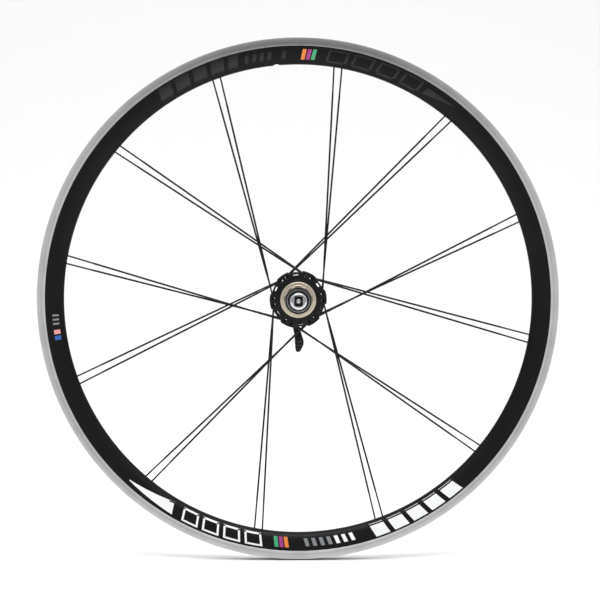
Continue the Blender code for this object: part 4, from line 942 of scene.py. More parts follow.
@dataclass
class RimHoop:
    """The rim with its tyre channel, hollow and holes, and the tape over its bed.

    Attributes:
        outer: radius of the rim's edge.
        track: height of the brake tracks.
        step: depth of the step between track and black body.
        steps: divisions round the axle.
        valve_angle: place of the valve hole, in degrees.
        half: half of the section, as depth, half width and rounding in millimetres.
        hollow_half: half of the hollow's section, as depth and half width in millimetres.
    """

    outer: float = 317.0 * MM
    track: float = 9.5 * MM
    step: float = 0.22 * MM
    steps: int = 360
    valve_angle: float = 95.25
    half: tuple[tuple[float, float, float], ...] = (
        (8.3, 3.8, 0.8),
        (6.0, 5.2, 0.8),
        (6.0, 8.5, 0.3),
        (2.2, 8.5, 0.5),
        (1.5, 7.8, 0.3),
        (0.0, 7.8, 0.35),
        (0.0, 10.0, 0.5),
        (9.5, 10.0, 0.12),
        (9.75, 9.78, 0.12),
        (19.6, 8.9, 4.0),
        (27.95, 6.3, 2.6),
        (32.0, 2.2, 2.4),
    )
    hollow_half: tuple[tuple[float, float], ...] = ((9.6, 8.5), (19.6, 7.8), (27.5, 5.3), (30.0, 2.3))

    def outline(self) -> np.ndarray:
        """The section as (radius, y), its corners rounded."""
        right = [(self.outer - d * MM, y * MM) for d, y, _ in self.half]
        left = [(r, -y) for r, y in right[::-1]]
        reach = [r * MM for _, _, r in self.half]
        return rounded(right + left, reach + reach[::-1], 4)

    def surface_y(self, radius: np.ndarray) -> np.ndarray:
        """Half width of the rim's side at a radius: the outline read between the track and the apex."""
        line = self.outline()
        side = line[(line[:, 1] > 0) & (line[:, 0] < self.outer - self.track)]
        side = side[np.argsort(side[:, 0])]
        return np.interp(radius, side[:, 0], side[:, 1])

    def hollow(self) -> np.ndarray:
        """The hollow's section as (radius, y)."""
        right = [(self.outer - d * MM, y * MM) for d, y in self.hollow_half]
        return rounded(right + [(r, -y) for r, y in right[::-1]], 1.2 * MM, 3)

    def build(self, lacing: Lacing) -> bpy.types.Object:
        """The rim: section turned about the axle, then drilled for spokes, nipples and valve."""
        rim = lathe("rim_hoop", self.outline(), self.steps, self.hollow())
        tools = []
        for spoke in lacing.spokes():
            name = f"drill_{spoke.node}"
            start, end = (spoke.seat + spoke.along * d * MM for d in (-6.0, 2.0))
            tools.append(rod(name, start, end, 1.45 * MM, 16))
            low, high = (in_plane(polar(r * MM, spoke.angle), 0.0) for r in (305.4, 312.5))
            tools.append(rod(f"{name}_access", low, high, 4.0 * MM, 24))
        low, high = (in_plane(polar(r * MM, self.valve_angle), 0.0) for r in (282.0, 312.5))
        tools.append(rod("drill_valve", low, high, 4.25 * MM, 40))
        return carve(rim, tools)

    def paint_track(self, rim: bpy.types.Object) -> None:
        """Second finish on a track's faces: depth under the track height, and |y| near its half width."""
        middle = face_middles(rim)
        depth = self.outer - np.hypot(middle[:, 0], middle[:, 2])
        on_track = (depth < self.track + self.step) & (np.abs(middle[:, 1]) > 9.6 * MM)
        rim.data.polygons.foreach_set("material_index", on_track.astype(np.int32))

    def tape(self) -> bpy.types.Object:
        """A woven tape with rolled edges and a punched valve hole."""
        half, low, high = 6.25 * MM, 311.3 * MM, 312.1 * MM
        edge = high - 0.2 * MM
        corners = [(low, -half), (edge, -half), (high, 0.0), (edge, half), (low, half)]
        tape = lathe("rim_tape_woven", rounded(corners, 0.35 * MM, 3), 240)
        ends = [in_plane(polar(r * MM, self.valve_angle), 0.0) for r in (309.0, 315.0)]
        return carve(tape, [rod("punch_valve", ends[0], ends[1], 4.3 * MM, 32)])

    def joint_seam(self) -> bpy.types.Object:
        """The rim's sleeve joint: a hair-thin line across each track, opposite the valve."""
        angle = self.valve_angle + 168.6
        parts = []
        for side in (-1.0, 1.0):
            radius = np.array([307.7, 316.4]) * MM
            y = side * 10.012 * MM
            spots = zip(radius[[0, 1, 1, 0]], (-0.012, -0.012, 0.012, 0.012))
            corner = [in_plane(polar(r, angle + a), y) for r, a in spots]
            inner = [c - np.array([0.0, side * 0.05 * MM, 0.0]) for c in corner]
            parts.append(np.array(corner + inner))
        faces = [[0, 1, 2, 3], [7, 6, 5, 4], [0, 4, 5, 1], [1, 5, 6, 2], [2, 6, 7, 3], [3, 7, 4, 0]]
        quads = np.concatenate([np.array(faces), np.array(faces) + 8])
        return make_object("rim_joint_seam", np.concatenate(parts), quads)

    def install(self, shop: Workshop, lacing: Lacing) -> None:
        """Builds, dresses and places every piece."""
        rim = shop.dress(self.build(lacing), "rim_satin_black", "brake_track")
        self.paint_track(rim)
        shop.fit(rim, "wheel", "rim_black", "rim")
        shop.fit(shop.dress(self.tape(), "tape_cotton"), "wheel", "rim_tape_cloth", "rim_tape")
        shop.fit(shop.dress(self.joint_seam(), "seal_rubber"), "wheel", "rim_black")


@dataclass(frozen=True)
class Patch:
    """A printed mark on the rim: a four-sided shape in angle and radius.

    Attributes:
        first: angles of its low and high corner at its start.
        last: angles of its low and high corner at its end.
        low: lower radii at start and end, in millimetres.
        high: upper radii at start and end, in millimetres.
    """

    first: tuple[float, float]
    last: tuple[float, float]
    low: tuple[float, float]
    high: tuple[float, float]

    @staticmethod
    def bar(
        start: float,
        end: float,
        low: float = 288.5,
        high: float = 305.0,
        slant: float = 0.0,
    ) -> "Patch":
        """A bar between two angles, its top shifted by the slant."""
        return Patch((start, start + slant), (end, end + slant), (low, low), (high, high))


@dataclass
class RimMarks:
    """Plain printed bars, sweeps and blocks round the rim's sides, raised by the print's thickness.

    Attributes:
        hoop: the rim they lie on.
        lift: thickness of the print.
        finishes: the marks of each finish.
    """

    hoop: RimHoop
    lift: float = 0.05 * MM
    finishes: dict[str, list[Patch]] = field(init=False)

    def __post_init__(self) -> None:
        """Lays out the marks."""
        bar = Patch.bar
        dark = [bar(124.6, 121.2, slant=-0.8), bar(120.2, 116.6, slant=-0.8), bar(115.6, 112.2, slant=-0.8)]
        dark += [bar(111.2, 108.0, slant=-0.8), bar(107.0, 104.6, slant=-0.8)]
        dark += [bar(a, a - 0.9, 292.0, 301.5, -0.5) for a in (102.8, 101.0, 99.2, 97.4, 94.0)]
        dark += self.frames(83.6, 4, -6.1, 4.9, 0.55, -0.8)
        dark += [Patch((59.0, 58.4), (50.5, 50.5), (291.0, 300.0), (300.5, 300.6))]
        bright = [bar(310.2, 306.4, slant=0.9), bar(305.2, 301.6, slant=0.9), bar(300.4, 296.8, slant=0.9)]
        bright += [bar(295.6, 292.0, slant=0.9), bar(290.8, 287.4, slant=0.9)]
        bright += [bar(a, a - 0.9, 292.0, 301.5, 0.5) for a in (283.0, 281.2, 279.4)]
        bright += self.frames(261.0, 4, -5.2, 4.1, 0.5, 0.8)
        bright += [Patch((238.6, 239.6), (227.0, 227.0), (289.5, 300.4), (304.0, 301.4))]
        grey = [bar(a, a - 0.9, 292.0, 301.5, 0.5) for a in (277.6, 275.8, 274.0, 272.2)]
        grey += [bar(a, a - 0.45, 291.5, 299.0) for a in (184.0, 185.0, 186.0)]
        self.finishes = {
            "mark_dark": dark,
            "mark_white": bright,
            "mark_grey": grey,
            "mark_orange": [bar(89.4, 88.5, 290.5, 303.0, -0.5), bar(267.4, 266.5, 290.5, 303.0, 0.5)],
            "mark_plum": [bar(88.2, 87.3, 290.5, 303.0, -0.5), bar(266.2, 265.3, 290.5, 303.0, 0.5)],
            "mark_green": [bar(87.0, 86.1, 290.5, 303.0, -0.5), bar(265.0, 264.1, 290.5, 303.0, 0.5)],
            "mark_blue": [bar(189.6, 188.6, 291.5, 299.0)],
            "mark_pink": [bar(188.2, 187.2, 291.5, 299.0)],
        }

    @staticmethod
    def frames(
        start: float,
        count: int,
        pitch: float,
        width: float,
        line: float,
        slant: float,
    ) -> list[Patch]:
        """Outlined boxes in a row, each of four thin bars."""
        made = []
        for i in range(count):
            a = start + pitch * i
            made.append(Patch.bar(a, a - line, 289.0, 304.5, slant))
            made.append(Patch.bar(a - width + line, a - width, 289.0, 304.5, slant))
            made.append(Patch.bar(a - line, a - width + line, 289.0, 291.2, 0.0))
            made.append(Patch.bar(a - line + slant, a - width + line + slant, 302.4, 304.5, 0.0))
        return made

    def mesh(self, name: str, patches: list[Patch], side: Side) -> bpy.types.Object:
        """All patches of one finish on one side.

        A point of a patch at (u, v) has the angle and radius blended between its four corners,
        and y is the rim's surface there plus the print's thickness. The left side mirrors x.

        Args:
            name: the object's name.
            patches: the marks.
            side: which side of the rim.

        Returns:
            The object, a thin closed shell for each patch.
        """
        u = np.linspace(0.0, 1.0, 9)[:, None]
        v = np.linspace(0.0, 1.0, 7)[None, :]
        points, quads = [], []
        for patch in patches:
            low_angle = patch.first[0] * (1 - u) + patch.last[0] * u
            high_angle = patch.first[1] * (1 - u) + patch.last[1] * u
            angle = np.radians(low_angle * (1 - v) + high_angle * v)
            low = patch.low[0] * (1 - u) + patch.low[1] * u
            high = patch.high[0] * (1 - u) + patch.high[1] * u
            radius = (low * (1 - v) + high * v) * MM
            x = radius * np.cos(angle) * -side.value
            z = radius * np.sin(angle)
            y = self.hoop.surface_y(radius)
            layers = [np.stack([x, side.value * (y + d), z], axis=-1) for d in (self.lift, -self.lift)]
            base = 126 * len(points)
            points.append(np.stack(layers).reshape(-1, 3))
            front = grid_faces(9, 7, False, False)
            edge = [np.arange(7), np.arange(13, 63, 7), np.arange(61, 55, -1), np.arange(49, 0, -7)]
            edge = np.concatenate(edge)
            ahead = np.roll(edge, -1)
            rim = np.stack([edge, edge + 63, ahead + 63, ahead], axis=-1)
            quads.append(np.concatenate([front, front[:, ::-1] + 63, rim]) + base)
        return make_object(name, np.concatenate(points), np.concatenate(quads), crease=50.0)

    def install(self, shop: Workshop) -> None:
        """Prints every mark on both sides."""
        for finish, patches in self.finishes.items():
            for side in Side:
                piece = self.mesh(f"{finish}_{side.name.lower()}", patches, side)
                shop.fit(shop.dress(piece, finish), "wheel", "rim_black")


@dataclass
class SpokeSet:
    """The 24 bladed spokes with their button heads and hidden nipples.

    Attributes:
        wire: radius of the round ends.
        blade: half width and half thickness of the blade.
        head: radius of the button head.
        nipple: radius of the nipple inside the rim.
    """

    wire: float = 1.0 * MM
    blade: tuple[float, float] = (1.15 * MM, 0.45 * MM)
    head: float = 1.5 * MM
    nipple: tuple[float, float] = (2.5 * MM, 2.1 * MM)

    def stations(self, length: float) -> np.ndarray:
        """(distance, half width, half thickness) along a spoke of a length up to its seat."""
        w, (bw, bt), h = self.wire, self.blade, self.head
        n1, n2 = self.nipple
        rows = [(0.0, 0.7 * h, 0.7 * h), (0.12 * MM, 0.9 * h, 0.9 * h), (0.4 * MM, h, h), (1.3 * MM, h, h)]
        rows += [(1.55 * MM, 0.9 * h, 0.9 * h)]
        rows += [(d * MM, w, w) for d in (2.1, 3.0, 16.0, 28.0)]
        for share in (0.15, 0.35, 0.65, 0.85, 1.0):
            s = share * share * (3.0 - 2.0 * share)
            rows.append(((28.0 + 6.0 * share) * MM, w + (bw - w) * s, w + (bt - w) * s))
        rows += [(length * f, bw, bt) for f in (0.3, 0.45, 0.6, 0.75)]
        for share in (0.0, 0.15, 0.35, 0.65, 0.85, 1.0):
            s = share * share * (3.0 - 2.0 * share)
            rows.append((length - (38.0 - 6.0 * share) * MM, bw + (w - bw) * s, bt + (w - bt) * s))
        rows += [(length - 14.0 * MM, w, w), (length, w, w), (length + 0.32 * MM, w, w)]
        rows += [(length + 0.34 * MM, n2, n2), (length + 0.8 * MM, n1, n1), (length + 3.0 * MM, n1, n1)]
        rows += [(length + 3.6 * MM, n2, n2), (length + 11.6 * MM, n2, n2)]
        rows += [(length + 12.0 * MM, 0.7 * n2, 0.7 * n2)]
        return np.array(rows)

    def build(self, spoke: Spoke) -> bpy.types.Object:
        """One spoke, its wide side in the wheel's plane."""
        start = spoke.head - spoke.along * 0.7 * MM
        rows = self.stations(float(np.linalg.norm(spoke.seat - start)))
        path = start + rows[:, :1] * spoke.along
        wide = np.cross(spoke.along, (0.0, 1.0, 0.0))
        return sweep(f"{spoke.node}_bladed", path, rows[:, 1], rows[:, 2], wide, 14)

    def install(self, shop: Workshop, lacing: Lacing) -> None:
        """Laces the wheel."""
        for spoke in lacing.spokes():
            shop.fit(shop.dress(self.build(spoke), "spoke_black"), "wheel", "spoke_black", spoke.node)


@dataclass
class HubShell:
    """The hub shell: barrel, two lobed flanges and the housing of the ratchet, in one piece.

    Attributes:
        lobe: radius of the flange's lobes.
        valley: radius between them.
        lobe_half: half angle of a lobe.
        steps: divisions round the axle.
    """

    lobe: float = 34.5 * MM
    valley: float = 32.5 * MM
    lobe_half: float = 15.0
    steps: int = 240

    def profile(self) -> tuple[np.ndarray, np.ndarray]:
        """The section's corners with how far each is rounded: outside first, then the bores."""
        rows = [
            (16.9, 52.5, 0.5), (16.9, 43.9, 2.5), (23.6, 41.5, 1.6), (24.1, 41.0, 0.2),
            (34.5, 41.0, 0.7), (34.5, 33.0, 0.7), (24.1, 33.0, 0.2), (23.8, 32.5, 0.8),
            (17.4, 29.5, 3.5), (13.5, 19.0, 5.0), (13.5, -6.7, 4.0), (16.9, -12.7, 3.0),
            (23.8, -16.5, 0.8), (24.1, -17.0, 0.2), (34.5, -17.0, 0.7), (34.5, -25.0, 0.7),
            (24.1, -25.0, 0.4), (23.4, -26.0, 0.4), (23.4, -30.4, 0.4), (19.5, -30.4, 0.4),
            (19.5, -23.0, 0.3), (14.3, -23.0, 0.3), (14.3, -12.7, 0.2), (12.5, -12.7, 0.3),
            (10.9, -8.7, 1.5), (10.9, 39.7, 1.5), (12.5, 43.7, 0.3), (14.3, 43.7, 0.2),
            (14.3, 52.5, 0.3),
        ]
        table = np.array(rows) * MM
        return table[:, :2], table[:, 2]

    def flange_radius(self, degrees: np.ndarray, lobes: np.ndarray) -> np.ndarray:
        """Lobe radius near a lobe's middle, valley radius elsewhere, with a smooth step 3 degrees wide."""
        gap = np.abs((degrees[:, None] - lobes[None, :] + 180.0) % 360.0 - 180.0).min(axis=1)
        s = np.clip((gap - self.lobe_half + 1.5) / 3.0, 0.0, 1.0)
        return self.lobe + (self.valley - self.lobe) * s * s * (3.0 - 2.0 * s)

    def body(self, lacing: Lacing) -> bpy.types.Object:
        """The section turned about the axle; radii beyond the root shrink or grow to the flange radius."""
        corners, reach = self.profile()
        outline = rounded(corners.tolist(), reach.tolist(), 4)
        degrees = np.linspace(0.0, 360.0, self.steps, endpoint=False)
        edge = self.flange_radius(degrees, lacing.lobes())[:, None]
        base = 30.0 * MM
        radius = np.broadcast_to(outline[:, 0], (self.steps, len(outline)))
        stretch = (edge - base) / (self.lobe - base)
        radius = np.where(radius > base, base + (radius - base) * stretch, radius)
        turn = np.radians(degrees)[:, None]
        y = np.broadcast_to(outline[:, 1], radius.shape)
        return skin("hub_shell_lobed", round_axle(radius, y, turn), True)

    @staticmethod
    def slot(middle: float, y: float, name: str) -> bpy.types.Object:
        """Cutter for a see-through slot: a bent bar on the circle just outside the spoke lines."""
        outer = arc(30.4 * MM, middle - 6.5, middle + 6.5, 12)
        inner = arc(28.4 * MM, middle + 6.5, middle - 6.5, 12)
        outline = rounded(np.concatenate([outer, inner]).tolist(), 0.45 * MM, 3)
        return prism(name, outline, y - 6.0 * MM, y + 6.0 * MM)

    @staticmethod
    def pocket(spoke: Spoke, y: float, name: str) -> bpy.types.Object:
        """Cutter for the round pocket of a spoke's head, its centre a little nearer the axle."""
        centre = spoke.head[[0, 2]]
        centre = centre - unit(centre) * 0.35 * MM
        return rod(name, in_plane(centre, y - 6.0 * MM), in_plane(centre, y + 6.0 * MM), 2.0 * MM, 28)

    def build(self, lacing: Lacing) -> bpy.types.Object:
        """The shell with slots, pockets and spoke channels cut."""
        shell = self.body(lacing)
        tools = []
        for side in Side:
            y = lacing.plane(side)
            for i, middle in enumerate(lacing.lobes()):
                tools.append(self.slot(middle + 30.0, y, f"slot_{side.name}_{i}"))
        for spoke in lacing.spokes():
            tools.append(self.pocket(spoke, lacing.plane(spoke.side), f"pocket_{spoke.node}"))
            channel_end = spoke.head + spoke.along * 24.0 * MM
            tools.append(rod(f"channel_{spoke.node}", spoke.head, channel_end, 1.35 * MM, 20))
        return carve(shell, tools)

    def install(self, shop: Workshop, lacing: Lacing) -> None:
        """Builds, dresses and places the shell, and paints the ring hidden in it."""
        shop.fit(shop.dress(self.build(lacing), "hub_anodised"), "wheel", "hub_black", "hub_shell")
        for node, finish in (("drive_ring", "tool_steel"), ("hub_bearing_drive", "ground_steel")):
            shop.paint_node(node, finish)
        half = [(7.8, 3.5, 0.2), (9.6, 3.5, 0.1), (9.8, 3.2, 0.1)]
        half += [(12.1, 3.2, 0.1), (12.3, 3.5, 0.1), (14.0, 3.5, 0.3)]
        left = [(r, 47.5 - y, reach) for r, y, reach in half]
        left += [(r, 47.5 + y, reach) for r, y, reach in half[::-1]]
        bearing = lathe("hub_bearing_left_sealed", fine(left), 96)
        shop.fit(shop.dress(bearing, "ground_steel"), "wheel", "race_steel", "hub_bearing_left")
        rows = [(8.1, 51.3, 0.2), (8.1, 52.5, 0.3), (9.2, 52.5, 0.2), (9.6, 52.2, 0.2)]
        rows += [(12.8, 52.2, 0.2), (13.2, 52.5, 0.2), (13.9, 52.5, 0.3), (13.9, 51.3, 0.2)]
        seal = fine(rows)
        lipped = shop.dress(lathe("left_dust_seal_lipped", seal, 96), "seal_rubber")
        shop.fit(lipped, "wheel", "seal_rubber", "left_dust_seal")


def fine(rows: list[tuple[float, float, float]], count: int = 3) -> np.ndarray:
    """An outline from rows of radius, y and rounding, all in millimetres."""
    table = np.array(rows) * MM
    return rounded(table[:, :2].tolist(), table[:, 2].tolist(), count)


@dataclass
class Freehub:
    """The splined carrier of the sprockets, with the rings in its open end.

    Attributes:
        floor: radius of the grooves.
        grooves: number of grooves; the first one is wide.
        half: half angle of a groove.
        wide_half: half angle of the wide groove.
        steps: divisions round the axle.
    """

    floor: float = 16.0 * MM
    grooves: int = 9
    half: float = 9.0
    wide_half: float = 13.0
    steps: int = 540

    def body(self) -> bpy.types.Object:
        """The carrier as a grid round the axle.

        On the rows of the splined length the radius is floor + (ridge radius - floor) * ridge(angle),
        where ridge steps smoothly from 0 to 1 over 1.4 degrees at each groove's side. The ridges
        fade in over the first half millimetre beside the shoulder.
        """
        rows = [
            (15.5, -23.5, 0.3), (15.5, -30.8, 0.2), (21.2, -30.8, 0.2), (21.7, -31.3, 0.3),
            (21.7, -32.6, 0.3), (20.7, -33.6, 0.4), (17.9, -33.6, 0.2), (17.4, -34.2, 0.2),
            (17.4, -36.0, 0.05), (17.4, -50.0, 0.05), (17.4, -66.2, 0.05), (17.4, -67.9, 0.3),
            (16.9, -68.4, 0.25), (15.55, -68.4, 0.2), (15.25, -68.1, 0.1), (15.25, -66.9, 0.05),
            (14.3, -66.9, 0.05), (14.3, -36.8, 0.2), (8.7, -36.8, 0.2), (8.7, -23.5, 0.3),
        ]
        outline = fine(rows, 4)
        degrees = np.linspace(0.0, 360.0, self.steps, endpoint=False)
        middles = 90.0 + 360.0 / self.grooves * np.arange(self.grooves)
        halves = np.where(np.arange(self.grooves) == 0, self.wide_half, self.half)
        gap = np.abs((degrees[:, None] - middles[None, :] + 180.0) % 360.0 - 180.0) - halves[None, :]
        s = np.clip(gap.min(axis=1) / 1.4 + 0.5, 0.0, 1.0)
        ridge = (s * s * (3.0 - 2.0 * s))[:, None]
        radius = np.broadcast_to(outline[:, 0], (self.steps, len(outline)))
        y = np.broadcast_to(outline[:, 1], radius.shape)
        splined = (radius > self.floor) & (y < -34.2 * MM)
        fade = np.clip((-34.2 * MM - y) / (0.5 * MM), 0.0, 1.0)
        depth = (1.0 - ridge) * fade * (radius - self.floor)
        radius = np.where(splined, radius - depth, radius)
        turn = np.radians(degrees)[:, None]
        return skin("freehub_body_splined", round_axle(radius, y, turn), True)

    def install(self, shop: Workshop) -> None:
        """Builds, dresses and places the carrier, its rings and the parts hidden in it."""
        # its finish paints shade into the grooves and the bore
        carrier = shop.dress(self.body(), "freehub_champagne")
        shop.fit(carrier, "freehub", "freehub_titanium", "freehub_body")
        rows = [(14.0, -67.2, 0.1), (14.0, -68.0, 0.2), (14.3, -68.1, 0.15)]
        rows += [(14.8, -68.1, 0.2), (14.95, -67.9, 0.1), (14.95, -67.2, 0.1)]
        seal = fine(rows)
        seal_ring = shop.dress(lathe("freehub_seal_ring", seal, 128), "seal_rubber")
        shop.fit(seal_ring, "freehub", "seal_rubber", "freehub_seal")
        section = [(12.95, -67.6, 0.15), (13.7, -67.6, 0.15), (13.7, -66.9, 0.15), (12.95, -66.9, 0.15)]
        snap = lathe("freehub_snap_ring_round", fine(section), 128)
        mouth = np.array([(-0.6, -14.5), (0.6, -14.5), (0.6, -12.0), (-0.6, -12.0)]) * MM
        gap = prism("snap_gap", mouth, -68.0 * MM, -66.5 * MM)
        snap = shop.dress(carve(snap, [gap]), "ground_steel")
        shop.fit(snap, "freehub", "race_steel", "freehub_snap_ring")
        rows = [(7.8, -66.6, 0.2), (9.4, -66.6, 0.1), (9.6, -66.4, 0.1), (12.2, -66.4, 0.1)]
        rows += [(12.4, -66.6, 0.1), (14.0, -66.6, 0.3), (14.0, -59.6, 0.3), (7.8, -59.6, 0.2)]
        outer = fine(rows)
        bearing = lathe("freehub_bearing_outer_sealed", outer, 96)
        shop.fit(shop.dress(bearing, "ground_steel"), "freehub", "race_steel", "freehub_bearing_outer")
        shop.paint_node("freehub_bearing_inner", "ground_steel")
        shop.paint_node("pawl_spring", "tool_steel")
        for number in (1, 2, 3):
            shop.paint_node(f"pawl_{number}", "tool_steel")


@dataclass
class AxleGroup:
    """The axle with its end caps, preload collar and spacers.

    Attributes:
        dropout: y of the dropout faces.
        steps: divisions round the axle.
    """

    dropout: float = 72.5
    steps: int = 96

    def axle(self) -> bpy.types.Object:
        """A thick sleeve with a thinner stub at each end and a through bore."""
        rows = [
            (4.6, 77.5, 0.1), (5.0, 77.1, 0.1), (5.0, 61.7, 0.1), (7.2, 61.7, 0.1), (7.5, 61.4, 0.1),
            (7.5, -65.8, 0.1), (7.2, -66.1, 0.1), (5.0, -66.1, 0.1), (5.0, -77.1, 0.1),
            (4.6, -77.5, 0.1), (3.2, -77.5, 0.1), (2.9, -77.2, 0.1), (2.9, 77.2, 0.1), (3.2, 77.5, 0.1),
        ]
        return lathe("axle_turned", fine(rows), self.steps)

    def cap_drive(self) -> bpy.types.Object:
        """The drive-side cap: a stepped flange with a grooved dropout face."""
        d = -self.dropout
        rows = [
            (5.3, -66.9, 0.1), (9.0, -66.9, 0.2), (9.0, -68.9, 0.2), (12.3, -68.9, 0.2),
            (12.7, -69.3, 0.2), (12.7, -71.7, 0.3), (11.9, -72.5, 0.3), (10.4, d, 0.05),
            (10.2, d + 0.25, 0.05), (9.9, d + 0.25, 0.05), (9.7, d, 0.05), (5.7, d, 0.2),
            (5.3, d + 0.4, 0.2),
        ]
        return lathe("end_cap_drive_stepped", fine(rows), 128)

    def cap_left(self) -> bpy.types.Object:
        """The left cap, a plain thick ring over the axle's shoulder."""
        d = self.dropout
        rows = [
            (5.3, d, 0.2), (10.4, d, 0.3), (11.0, d - 0.6, 0.3), (11.0, 68.4, 0.2), (10.7, 68.1, 0.1),
            (10.7, 67.5, 0.1), (11.0, 67.2, 0.2), (11.0, 61.0, 0.3), (7.8, 61.0, 0.2), (7.8, 62.0, 0.1),
            (5.3, 62.0, 0.1),
        ]
        return lathe("end_cap_left_grooved", fine(rows), self.steps)

    def collar(self) -> bpy.types.Object:
        """The clamped collar, slit at the top and bored across for its screw."""
        rows = [(7.8, 53.2, 0.3), (13.0, 53.2, 0.5), (13.0, 60.7, 0.5), (7.8, 60.7, 0.3)]
        ring = lathe("preload_collar_slit", fine(rows), self.steps)
        mouth = np.array([(-0.5, 0.0), (0.5, 0.0), (0.5, 15.0), (-0.5, 15.0)]) * MM
        slit = prism("slit", mouth, 52.0 * MM, 62.0 * MM)
        y, z = 56.95 * MM, 10.6 * MM
        hole = rod("screw_hole", (-4.6 * MM, y, z), (15.0 * MM, y, z), 1.55 * MM, 24)
        return carve(ring, [slit, hole])

    def screw(self) -> bpy.types.Object:
        """The clamp screw, with a hexagon socket in its head."""
        y, z = 56.95 * MM, 10.6 * MM
        shank = rod("collar_screw_socketed", (-4.3 * MM, y, z), (4.6 * MM, y, z), 1.25 * MM, 24, 0.15 * MM)
        socket = rod("socket", (3.4 * MM, y, z), (6.0 * MM, y, z), 0.75 * MM, 6)
        return carve(shank, [socket])

    def install(self, shop: Workshop) -> None:
        """Builds, dresses and places every piece on the axle."""
        for piece, finish, slot, node in (
            (self.axle(), "axle_turned", "axle_grey", "axle"),
            (self.cap_drive(), "cap_blue_black", "cap_blue_black", "end_cap_drive"),
            (self.cap_left(), "cap_blue_black", "cap_blue_black", "end_cap_left"),
            (self.collar(), "hub_anodised", "hub_black", "preload_collar"),
            (self.screw(), "tool_steel", "tool_steel", "collar_screw"),
        ):
            shop.fit(shop.dress(piece, finish), "axle", slot, node)
        shop.paint_node("bearing_spacer", "tool_steel")
        shop.paint_node("freehub_spacer", "tool_steel")


